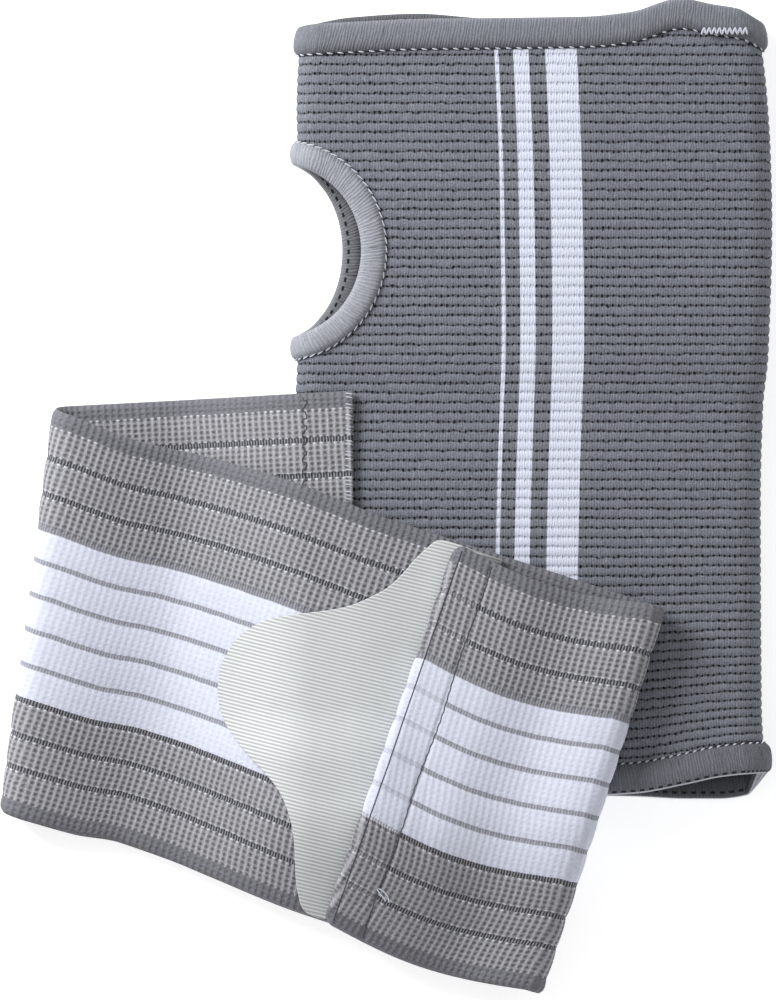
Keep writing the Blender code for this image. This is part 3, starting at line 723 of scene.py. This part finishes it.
def knit_material():
    """Ribbed knit: rows of small holes between rounded courses, and white wale stripes. The holes, the
    grooves between courses, the rib troughs and the inner face are darkened as painted shade, and the rib
    crests lightened as painted highlight.
    """
    shade = Shade("ribbed_knit", 0.92)
    place = shade.place()
    course = shade.attribute("course")
    wale = shade.attribute("wale")
    across = shade.attribute("across")
    inner = shade.attribute("inner")
    sideways = shade.plus(wale, shade.remap(shade.noise(place, 900.0, 2.0), -0.35, 0.35))
    lengthways = shade.plus(course, shade.remap(shade.noise(place, 700.0, 2.0), -0.26, 0.26))
    from_hole = shade.math("ABSOLUTE", shade.minus(shade.math("FRACT", sideways), 0.5))
    from_row = shade.math("PINGPONG", lengthways, 0.5)
    aside = shade.times(from_hole, WALE / 0.00018)
    above = shade.times(from_row, COURSE_PITCH / 0.00021)
    away = shade.plus(shade.times(aside, aside), shade.times(above, above))
    size = shade.remap(shade.noise(place, 1300.0, 1.0), 0.2, 2.3)
    hole = shade.step(shade.math("DIVIDE", away, size), 1.7, 0.35)
    groove = shade.step(from_row, 0.19, 0.03)
    streaks = shade.vector(shade.times(sideways, 2.0), shade.times(course, 0.8))
    streak = shade.noise(streaks, 1.0, 3.0)
    rib = shade.wave(shade.plus(sideways, 0.25), 0.5)
    fuzz = shade.noise(place, 4200.0, 3.0)
    stripes = 0.0
    for centre, half in STRIPES:
        band = shade.near(across, centre * 1000, half * 1000, 0.14)
        stripes = band if stripes == 0.0 else shade.math("MAXIMUM", stripes, band)
    grey = shade.mix(fuzz, srgb(44, 47, 57), srgb(162, 166, 177))
    grey = shade.fade(grey, streak, 0.62, 1.34)
    # Rib crests lighter and troughs darker: painted highlight and shade along the ribs.
    grey = shade.fade(grey, rib, 0.84, 1.12)
    # Grooves between courses darkened and holes painted near-black: painted shade in the recesses, in the
    # grey and in the white stripes.
    grey = shade.fade(grey, groove, 1.05, 0.50)
    grey = shade.mix(hole, grey, srgb(8, 9, 14))
    white = shade.mix(fuzz, srgb(206, 211, 230), srgb(236, 240, 253))
    white = shade.mix(shade.times(hole, 0.16), white, srgb(120, 126, 152))
    white = shade.fade(white, groove, 1.0, 0.94)
    colour = shade.mix(stripes, grey, white)
    # The inner face is darkened to 0.30: painted shade inside the sleeve.
    colour = shade.fade(colour, inner, 1.0, 0.30)
    height = shade.plus(shade.remap(rib, 0.0, 0.3), shade.times(fuzz, 0.5))
    height = shade.minus(height, shade.times(hole, 1.0))
    return shade.finish(colour, height, 0.00022, 0.7)


def tape_material(name, light, notches):
    """Edge tape: fine ribs across it with a few deeper puckers, darker beside the stitches. The rib
    troughs, the puckers, the band beside the stitches and the inner side are darkened as painted shade,
    and the rib crests lightened as painted highlight.
    """
    shade = Shade(name, 0.92)
    place = shade.place()
    along = shade.attribute("tape_along")
    depth = shade.attribute("tape_depth")
    inner = shade.attribute("inner")
    slant = shade.plus(along, shade.times(depth, 0.10))

    def stretched(across, down, scale, detail):
        """Noise with one scale along the tape and another over it."""
        place = shade.vector(shade.times(slant, across), shade.times(depth, down))
        return shade.noise(place, scale, detail)

    drift = stretched(0.7, 0.2, 1.0, 2.0)
    rib = shade.wave(shade.plus(slant, shade.remap(drift, -0.5, 0.5)), 0.47)
    fuzz = shade.noise(place, 3600.0, 3.0)
    fibre = stretched(4.0, 0.7, 1.0, 3.0)
    streak = stretched(1.9, 0.12, 1.3, 3.0)
    pucker = shade.step(streak, 0.36, 0.26)
    base = shade.mix(fuzz, srgb(*[v - 34 for v in light]), srgb(*[v + 16 for v in light]))
    # Rib troughs darker and crests lighter: painted shade and highlight along the ribs.
    colour = shade.fade(base, rib, 0.84, 1.08)
    colour = shade.fade(colour, fibre, 0.72, 1.26)
    # Puckers, the band beside the stitches and the inner side are darkened: painted shade.
    colour = shade.fade(colour, pucker, 1.0, 0.55)
    colour = shade.fade(colour, shade.step(depth, 3.2, 5.2), 1.0, 0.80)
    colour = shade.fade(colour, inner, 1.0, 0.55)
    dots = shade.step(shade.wave(along, 1.48), 0.35, 0.6)
    seam = shade.times(shade.near(depth, -1.1, 0.16, 0.14), dots)
    colour = shade.mix(seam, colour, srgb(16, 17, 22))
    if notches:
        cuts = shade.step(shade.wave(along, 1.45), 0.35, 0.6)
        row = shade.times(shade.near(depth, 0.45, 0.14, 0.14), cuts)
        colour = shade.mix(row, colour, srgb(24, 25, 31))
        thread = shade.near(depth, 0.05, 0.08, 0.10)
        colour = shade.mix(thread, colour, srgb(190, 193, 203))
    height = shade.plus(shade.times(rib, 0.5), shade.times(fibre, 0.5))
    height = shade.minus(height, shade.times(pucker, 0.8))
    return shade.finish(colour, height, 0.00020, 0.8)


def strap_material():
    """Woven elastic: grey waffle bands, white bands, ladder lines and plain darker edges, with painted
    shade in the waffle cells, the rib troughs and the ladder gaps, and painted highlight on the rib
    crests.
    """
    shade = Shade("woven_elastic", 0.9)
    place = shade.place()
    along = shade.attribute("weave_along")
    share = shade.attribute("weave_share")
    hem = shade.attribute("hem")
    along = shade.plus(along, shade.remap(shade.noise(place, 420.0, 2.0), -0.16, 0.16))
    share = shade.plus(share, shade.remap(shade.noise(place, 300.0, 2.0), -0.002, 0.002))
    rib = shade.wave(along, RIB_PITCH * 1000)
    rung = shade.wave(along, 0.55)
    fuzz = shade.noise(place, 3600.0, 3.0)
    crumb = shade.noise(place, 1100.0, 2.0)
    blotch = shade.noise(place, 90.0, 2.0)
    mesh_row = shade.wave(share, 0.0132)
    cell = shade.times(shade.minus(1.0, rib), shade.minus(1.0, mesh_row))
    cell = shade.times(cell, shade.remap(crumb, 0.4, 1.5))
    in_white = shade.near(share, 0.5005, 0.2125, 0.003)
    in_edge = shade.minus(1.0, shade.near(share, 0.5, 0.458, 0.002))
    grey = shade.mix(fuzz, srgb(80, 79, 87), srgb(208, 208, 214))
    # Rib troughs and the sunken waffle cells darkened, rib crests lightened: painted shade and highlight;
    # the white bands get the same, faintly.
    grey = shade.fade(grey, rib, 0.78, 1.20)
    grey = shade.fade(grey, cell, 1.0, 0.42)
    edge = shade.mix(fuzz, srgb(66, 65, 73), srgb(152, 152, 160))
    white = shade.mix(fuzz, srgb(200, 205, 226), srgb(240, 243, 254))
    white = shade.fade(white, rib, 0.97, 1.01)
    colour = shade.mix(in_white, grey, white)
    colour = shade.mix(in_edge, colour, edge)
    softer = shade.remap(in_white, 1.0, 0.3)
    height = shade.times(shade.minus(shade.times(rib, 0.5), cell), softer)
    height = shade.plus(height, shade.times(fuzz, 0.35))
    # The near-black between the rungs is painted shade in the open gaps of the ladder lines.
    dark_rungs = shade.mix(rung, srgb(22, 22, 28), srgb(150, 150, 158))
    soft_rungs = shade.mix(rung, srgb(138, 139, 150), srgb(178, 180, 190))
    for centre in STRAP_LINES[1:3] + STRAP_LINES[8:11]:
        line = shade.near(share, centre, 0.0058, 0.002)
        colour = shade.mix(shade.times(line, shade.remap(hem, 1.0, 0.35)), colour, dark_rungs)
        height = shade.minus(height, shade.times(line, shade.remap(rung, 0.8, 0.2)))
    for centre in STRAP_LINES[4:8]:
        line = shade.near(share, centre, 0.0048, 0.0025)
        colour = shade.mix(shade.times(line, shade.remap(hem, 1.0, 0.35)), colour, soft_rungs)
        height = shade.minus(height, shade.times(line, 0.4))
    line = shade.near(share, STRAP_LINES[3], 0.0080, 0.004)
    colour = shade.mix(line, colour, shade.mix(rung, srgb(120, 120, 128), srgb(158, 158, 166)))
    flecks = shade.vector(shade.times(along, 0.8), shade.times(share, 60.0))
    flecks = shade.noise(flecks, 1.0, 1.0)
    dashes = shade.times(shade.step(rib, 0.30, 0.70), shade.step(flecks, 0.34, 0.56))
    for centre in (0.042, 0.110, 0.126, 0.199, 0.215, 0.7225, 0.792, 0.808, 0.872, 0.888):
        line = shade.times(shade.near(share, centre, 0.0011, 0.0016), dashes)
        colour = shade.mix(line, colour, srgb(214, 216, 224))
    colour = shade.fade(colour, crumb, 0.90, 1.10)
    colour = shade.fade(colour, blotch, 0.94, 1.06)
    return shade.finish(colour, height, 0.00022, 0.8)


def tab_material():
    """Hook tab: pale moulded plastic with fine ridges, painted lighter on the ridges and darker in the
    grooves as painted highlight and shade.
    """
    shade = Shade("hook_plastic", 0.5)
    place = shade.place()
    split = shade.put("ShaderNodeSeparateXYZ", {0: place})
    ridge_side = direction(math.pi / 2 - TAB_RIDGES_DOWN)
    over = shade.times(split.outputs[0], ridge_side[0] * 1000)
    over = shade.plus(over, shade.times(split.outputs[1], ridge_side[1] * 1000))
    ridge = shade.wave(over, TAB_RIDGE_PITCH * 1000)
    wear = shade.noise(place, 260.0, 3.0)
    grain = shade.noise(place, 2600.0, 2.0)
    # Painted highlight on the ridges and painted shade in the grooves between them.
    colour = shade.mix(ridge, srgb(178, 182, 182), srgb(236, 238, 238))
    colour = shade.fade(colour, wear, 0.94, 1.05)
    colour = shade.fade(colour, grain, 0.94, 1.05)
    height = shade.plus(ridge, shade.times(grain, 0.3))
    return shade.finish(colour, height, 0.00010, 0.6)


def thread_material(name, dark, light):
    """Twisted sewing thread; one call makes the near-black of the painted shadow lines beside the tapes.
    """
    shade = Shade(name, 0.75)
    fuzz = shade.noise(shade.place(), 4000.0, 2.0)
    return shade.finish(shade.mix(fuzz, srgb(*dark), srgb(*light)), fuzz, 0.00004, 0.5)


def make_sleeve():
    """The ribbed knit tube with its courses as real ridges, cut out for the thumb."""
    half = 2 * FOLD_STEPS + FLAT_STEPS
    shares = np.arange(2 * half) / (2 * half)
    start = SLEEVE_WRIST_END + TAPE_RISE
    wrist = end_line(shares, "wrist") + TAPE_RISE
    hand = end_line(shares, "hand") - TAPE_RISE
    course = (np.arange(COURSES)[:, None] + np.array(COURSE_POINTS)).ravel()
    rows, columns = len(course), len(shares)
    tilt = np.clip(1 - course / COURSES_THAT_TILT, 0, 1)[:, None] ** 2
    natural = start + course[:, None] * COURSE_PITCH + (wrist - start) * tilt
    y = np.minimum(natural, hand)
    numbers = np.arange(rows * columns).reshape(rows, columns)
    past = natural >= hand
    first_past = np.argmax(past, axis=0)
    numbers = np.where(past, numbers[first_past, np.arange(columns)], numbers)
    around, _ = ring_distance(shares[None, :] + 0 * y, y)

    middle = SLEEVE_WRIST_END + THUMB_HOLE_FROM_WRIST_END
    reach = np.where(around > 0, THUMB_HOLE_FRONT_REACH, THUMB_HOLE_BACK_REACH) + TAPE_RISE
    tall = THUMB_HOLE_HALF_LENGTH + TAPE_RISE
    inside = np.sqrt((around / reach) ** 2 + ((y - middle) / tall) ** 2)
    quads = numbers.ravel()[grid_quads(rows, columns, 0, False, True)]
    ordered = np.sort(quads, axis=1)
    quads = quads[(np.diff(ordered, axis=1) != 0).sum(axis=1) >= 2]
    out_of_hole = inside.ravel()[quads].mean(axis=1) > 1
    kept = quads[out_of_hole]
    rim = np.intersect1d(kept, quads[~out_of_hole])
    pull = np.ones(rows * columns)
    pull[rim] = 1 / inside.ravel()[rim]
    pull = pull.reshape(rows, columns)
    around, y = around * pull, middle + (y - middle) * pull
    moved = (pull != 1) | past
    here = np.where(moved, (y - start) / COURSE_PITCH, course[:, None])

    ridge = 0.00026 * (np.abs(np.sin(math.pi * here)) ** 0.55 - 1)
    sway = smooth(SWAY, SWAY_COLUMNS, "sway", (y - SLEEVE_WRIST_END) / SLEEVE_LENGTH)
    outer = sleeve_point(around, y, ridge)
    inner = sleeve_point(around, y, -SLEEVE_WALL - ridge * 0.5)
    across = np.where(around > 0, outer[..., 0] - sway, -1.0) * 1000
    used = np.unique(kept)
    renumber = np.zeros(rows * columns, int)
    renumber[used] = np.arange(len(used))
    faces = close_layers(renumber[kept], len(used))
    points = np.concatenate([outer.reshape(-1, 3)[used], inner.reshape(-1, 3)[used]])
    attributes = {
        "course": np.tile(here.ravel()[used], 2),
        "wale": np.tile((around / WALE).ravel()[used], 2),
        "across": np.concatenate([across.ravel()[used], 0 * used - 1000.0]),
        "inner": np.concatenate([0.0 * used, 0.0 * used + 1]),
    }
    return make_piece("knit_sleeve", points, faces, knit_material(), "sleeve", attributes)


def tape_shape(width, seat):
    """A tape's puffed section: inward distance from the finished edge, stand-off, and inside or not."""
    lip = TAPE_THICKNESS
    under = -SLEEVE_WALL - 0.0002
    outline = (
        (width * 0.9, under, 1),
        (width * 0.88, under - 0.0004, 1),
        (width * 0.5, under - 0.0006, 1),
        (lip * 1.2, under - 0.0006, 1),
        (lip * 0.4, under - 0.0003, 1),
        (0.0, -SLEEVE_WALL * 0.80, 1),
        (-0.0001, -TAPE_RISE * 0.45, 0),
        (0.0001, TAPE_RISE * 0.15, 0),
        (lip * 0.35, TAPE_RISE * 0.62, 0),
        (lip * 0.8, TAPE_RISE * 0.86, 0),
        (lip * 1.5, TAPE_RISE * 0.98, 0),
        (width * 0.42, TAPE_RISE * 1.04, 0),
        (width * 0.58, TAPE_RISE * 1.04, 0),
        (width * 0.74, TAPE_RISE * 0.99, 0),
        (width * 0.86, TAPE_RISE * 0.85, 0),
        (width * 0.94, TAPE_RISE * 0.62, 0),
        (width * 0.985, TAPE_RISE * 0.40, 0),
        (width, seat, 0),
        (width * 0.6, seat, 0),
        (lip, seat, 0),
        (lip, under, 1),
    )
    return np.array(outline)


def tape_piece(name, node, place, length, width, seat, light, pitch, notches):
    """A tape round an edge. place(share, depth, out) gives points for shares round it."""
    shares = np.arange(TAPE_STEPS) / TAPE_STEPS
    outline = tape_shape(width, seat)
    ripple = 0.5 + 0.5 * np.cos(2 * math.pi * round(length / pitch) * shares)
    random = np.random.default_rng(round(length * 1e4))
    tone = np.zeros(TAPE_STEPS)
    for waves in (3, 7, 12, 19, 31):
        tone += np.sin(2 * math.pi * (waves * shares + random.random())) * random.uniform(0.08, 0.2)
    rings = []
    for depth, out, _ in outline:
        outer_edge = max(0.0, (depth - width * 0.6) / (width * 0.4)) if out > seat else 0.0
        lift = -0.00020 * ripple * outer_edge + 0.00008 * tone * (out > 0)
        edge = depth + 0.00018 * outer_edge * (ripple - 0.5)
        rings.append(place(shares, edge, out + lift))
    signed = outline[:, 0] * np.where(outline[:, 2] > 0, -1000, 1000)
    attributes = {
        "tape_along": np.tile(shares * length * 1000, len(outline)),
        "tape_depth": np.repeat(signed, TAPE_STEPS),
        "inner": np.repeat(outline[:, 2], TAPE_STEPS),
    }
    quads = grid_quads(len(outline), TAPE_STEPS, 0, True, True)
    material = tape_material(name + "_knit", light, notches)
    return make_piece(name, np.concatenate(rings), quads, material, node, attributes)


def end_place(end):
    """The place function of a tape round the hand or wrist end."""
    inward = -1 if end == "hand" else 1

    def place(shares, depth, out):
        y = end_line(shares, end) + inward * depth
        around, _ = ring_distance(shares, y)
        return sleeve_point(around, y, out)

    return place


def thumb_place(shares, depth, out):
    around, y = hole_loop(shares * 2 * math.pi, depth)
    return sleeve_point(around, y, out)


def make_bindings(white, dark):
    """The three tapes and the stitches that hold them, with a near-black tube beside each tape's edge as
    a painted shadow line.
    """
    hand, wrist = end_place("hand"), end_place("wrist")
    end, hole = (END_TAPE_WIDTH, GAP), (THUMB_TAPE_WIDTH, THUMB_TAPE_SEAT)
    jobs = (
        ("hand_tape", "hand_binding", hand, *end, (134, 137, 145), 0.00194, 0.0010),
        ("wrist_tape", "wrist_binding", wrist, *end, (122, 125, 133), 0.0015, 0.0009),
        ("thumb_tape", "thumb_binding", thumb_place, *hole, (168, 171, 179), 0.0016, 0.0014),
    )
    tapes = {}
    for name, node, place, width, seat, light, pitch, dash in jobs:
        shares = np.linspace(0, 1, 1201)
        edge = place(shares, 0.0, 0.0)
        length = float(np.linalg.norm(np.diff(edge, axis=0), axis=1).sum())
        notches = name == "wrist_tape"
        tapes[name] = tape_piece(name, node, place, length, width, seat, light, pitch, notches)
        near_line = place(shares, width - 0.00002, 0.00042)
        far_line = place(shares, width + 0.00022, 0.00026)
        stitch_row(name + "_stitches", near_line, far_line, pitch, dash, 0.00017, white)
        # A near-black tube just past the tape's edge stands for the shadow line there: painted shadow,
        # not a thread.
        under = place(shares[:-1], width + 0.00006, 0.00012)
        points, quads = tube(under, 0.00019, 6, True)
        make_piece(name + "_thread", points, quads, dark)
    return tapes


def make_bar_tack(white):
    """The cluster of stitches that closes the hand tape near its right fold."""
    parts = []
    for step in range(TACK_LOOPS):
        x = TACK_START + step * TACK_PITCH
        foot, head = TACK_LINE - 0.0006, TACK_LINE + 0.0008
        spots = ((x, foot), (x + TACK_PITCH * 0.6, head), (x + TACK_PITCH, foot))
        height = float(sleeve_top(x, foot)) + TAPE_RISE + 0.0003
        line = [np.array([px, py, height]) for px, py in spots]
        parts.append(bead(line[0], line[1], 0.00022))
        parts.append(bead(line[1], line[2], 0.00022))
    points, quads = join(parts)
    return make_piece("bar_tack", points, quads, white)


def strap_rows():
    return {"low": 80, "loop": 22, "long": 176, "top": 88, "hem": 8, "return": 12}


def make_strap(light, dark):
    """The strap with its bands standing up between the woven lines, and its seams."""
    across = np.linspace(0, STRAP_WIDTH, STRAP_ACROSS_STEPS + 1)
    middle, along, stations = strap_middle(across, strap_rows())
    normal = strap_frame(middle)
    share = across / STRAP_WIDTH
    lines = np.array((0.0,) + STRAP_LINES[1:] + (1.0,))
    band = np.clip(np.searchsorted(lines, share, side="right") - 1, 0, len(lines) - 2)
    inside = (share - lines[band]) / (lines[band + 1] - lines[band])
    puff = np.sqrt(np.clip(4 * inside * (1 - inside), 0, 1)) - 1
    hem_turn = np.argmax(stations == 5) + strap_rows()["hem"] // 2
    to_hem = np.abs(along[hem_turn] - along)
    seams = sum(np.exp(-(((to_hem - seam) / 0.00045) ** 2)) for seam in HEM_SEAMS)
    seams = seams * (stations >= 4)[:, None]
    rib = np.cos(2 * math.pi * along / RIB_PITCH)
    plump = 0.00034 * puff[None, :] + 0.00002 * rib - 0.00030 * seams
    edge = np.clip(np.minimum(share, 1 - share) / 0.012, 0, 1)
    body = STRAP_THICKNESS / 2 * (0.35 + 0.65 * np.sqrt(edge))[None, :]
    stand = np.maximum(body + plump, 0.00012)
    first = middle + normal * stand[..., None]
    second = middle - normal * stand[..., None]
    count = middle.shape[0] * middle.shape[1]
    quads = close_layers(grid_quads(*middle.shape[:2], 0, False, False), count)
    points = np.concatenate([first.reshape(-1, 3), second.reshape(-1, 3)])
    in_hem = (to_hem < HEM_SEAMS[1]) & (stations >= 4)[:, None]
    attributes = {
        "weave_along": np.tile(along.ravel() * 1000, 2),
        "weave_share": np.tile(np.broadcast_to(share, along.shape).ravel(), 2),
        "hem": np.tile(in_hem.ravel().astype(float), 2),
    }
    woven = strap_material()
    piece = make_piece("woven_strap", points, quads, woven, "strap", attributes)

    top = np.where((first[..., 2] > second[..., 2])[..., None], first, second)
    on_top = np.flatnonzero(stations == 4)
    for seam in HEM_SEAMS:
        path = []
        for step in np.linspace(0.012, 0.988, 300):
            column = step * STRAP_ACROSS_STEPS
            low = int(column)
            run = top[on_top, low] * (1 - column + low) + top[on_top, low + 1] * (column - low)
            reach = to_hem[on_top, low][::-1]
            wander = seam + 0.00006 * math.sin(step * 230) + 0.00018 * math.sin(step * 19)
            path.append([np.interp(wander, reach, run[::-1, i]) for i in range(3)])
        path = np.array(path) + [0, 0, 0.00006]
        points, quads = tube(path, 0.00010, 5)
        make_piece(f"hem_seam_{round(seam * 10000)}", points, quads, dark)

    loops, seam_path = [], []
    sewn = np.flatnonzero(stations == 0)
    from_end = along[sewn] - along[0]
    for step in np.linspace(0.01, 0.99, OVERLOCK_LOOPS):
        column = round(step * STRAP_ACROSS_STEPS)
        run = top[sewn, column]
        outer = np.array([np.interp(0.0, from_end[:, column], run[:, i]) for i in range(3)])
        inner = np.array([np.interp(0.0013, from_end[:, column], run[:, i]) for i in range(3)])
        outward = (outer - inner) / np.linalg.norm(outer - inner)
        lean = np.array([0.0, 0.00035, 0.0])
        start = outer + outward * 0.0002 - [0, 0, 0.0002]
        loops.append(bead(start, inner + lean + [0, 0, 0.0001], 0.00016))
    points, quads = join(loops)
    make_piece("overlock_stitches", points, quads, light)
    for step in np.linspace(0.01, 0.99, 260):
        column = round(step * STRAP_ACROSS_STEPS)
        reach = SEWN_SEAM + 0.0004 * math.sin(step * 200)
        run = top[sewn, column]
        seam_path.append([np.interp(reach, from_end[:, column], run[:, i]) for i in range(3)])
    points, quads = tube(np.array(seam_path) + [0, 0, 0.00005], 0.00011, 5)
    make_piece("sewn_end_seam", points, quads, dark)

    corner = top[on_top[-1], int(0.93 * STRAP_ACROSS_STEPS)] + [0.0078, -0.0005, 0.0]
    turned = np.linspace(0, 5.2, 40)
    curl = np.stack([0.0011 * np.cos(turned), 0.0026 * np.sin(turned / 1.7), 0 * turned], axis=-1)
    height = [0.0, 0.0, 0.0008]
    points, quads = tube(corner + curl + height, 0.00013, 6)
    make_piece("loose_thread", points, quads, light)
    return piece, float((along[-1] - along[0]).mean())


def make_tab():
    """The hook tab, whose fine ridges are in its material."""
    hem_line = direction(math.pi / 2 - HEM_LEAN)
    outward = np.array([-hem_line[1], hem_line[0]])
    root = np.array(HEM_TOP) - hem_line * STRAP_WIDTH / 2
    reach = np.concatenate([[-TAB_ROOT], TAB_REACH * np.sin(np.linspace(0, math.pi / 2, 90))])
    share = np.maximum(reach / TAB_REACH, 0)
    upper = smooth(TAB_EDGES, TAB_COLUMNS, "upper", share) * STRAP_WIDTH
    lower = smooth(TAB_EDGES, TAB_COLUMNS, "lower", share) * STRAP_WIDTH
    side = upper[:, None] + (lower - upper)[:, None] * np.linspace(0, 1, 160)[None, :]
    plan = root + outward * reach[:, None, None] + hem_line * side[..., None]
    z = over_middle_run(plan[..., 0], plan[..., 1], STRAP_THICKNESS / 2 + TAB_SEAT + TAB_THICKNESS / 2)
    middle = np.dstack([plan, z])
    normal = strap_frame(middle)
    first = middle + normal * TAB_THICKNESS / 2
    second = middle - normal * TAB_THICKNESS / 2
    count = middle.shape[0] * middle.shape[1]
    quads = close_layers(grid_quads(*middle.shape[:2], 0, False, False), count)
    points = np.concatenate([first.reshape(-1, 3), second.reshape(-1, 3)])
    return make_piece("ridged_tab", points, quads, tab_material(), "hook_tab")


def make_stage():
    """Pale floor, plain soft light from the upper left, and the camera straight above."""
    floor_mesh = bpy.data.meshes.new("floor")
    corners = [(-3, -3, -0.0002), (3, -3, -0.0002), (3, 3, -0.0002), (-3, 3, -0.0002)]
    floor_mesh.from_pydata(corners, [], [(0, 1, 2, 3)])
    shade = Shade("pale_floor", 0.9)
    shade.shader.inputs["Base Color"].default_value = (0.9, 0.9, 0.9, 1)
    shade.shader.inputs["Emission Color"].default_value = (1, 1, 1, 1)
    shade.shader.inputs["Emission Strength"].default_value = FLOOR_GLOW
    floor_mesh.materials.append(shade.material)
    floor = bpy.data.objects.new("floor", floor_mesh)
    bpy.context.scene.collection.objects.link(floor)

    world = bpy.data.worlds.new("studio")
    world.use_nodes = True
    world.node_tree.nodes["Background"].inputs["Color"].default_value = (1, 1, 1, 1)
    world.node_tree.nodes["Background"].inputs["Strength"].default_value = WORLD_STRENGTH
    bpy.context.scene.world = world

    lamp = bpy.data.lights.new("key", "AREA")
    lamp.size = KEY_SIZE
    lamp.energy = KEY_POWER
    lit = bpy.data.objects.new("key", lamp)
    lit.location = KEY_SPOT
    lit.rotation_euler = (-Vector(KEY_SPOT)).to_track_quat("-Z", "Y").to_euler()
    bpy.context.scene.collection.objects.link(lit)

    lens = bpy.data.cameras.new("camera")
    lens.sensor_width = 36.0
    lens.lens = lens.sensor_width * (CAMERA_HEIGHT - FOCUS_HEIGHT) / PICTURE_HEIGHT
    lens.clip_end = 10.0
    camera = bpy.data.objects.new("camera", lens)
    camera.location = (-SHIFT[0], -SHIFT[1], CAMERA_HEIGHT)
    bpy.context.scene.collection.objects.link(camera)
    bpy.context.scene.camera = camera
    bpy.context.scene.view_settings.view_transform = "Standard"


make_stage()
white_thread = thread_material("white_thread", (176, 180, 192), (228, 231, 240))
# Near-black material for the painted shadow lines beside the tapes.
dark_thread = thread_material("dark_thread", (14, 15, 20), (44, 46, 54))
grey_thread = thread_material("grey_thread", (52, 53, 60), (92, 93, 102))
sleeve = make_sleeve()
tapes = make_bindings(white_thread, dark_thread)
make_bar_tack(white_thread)
strap, strap_length = make_strap(white_thread, grey_thread)
make_tab()
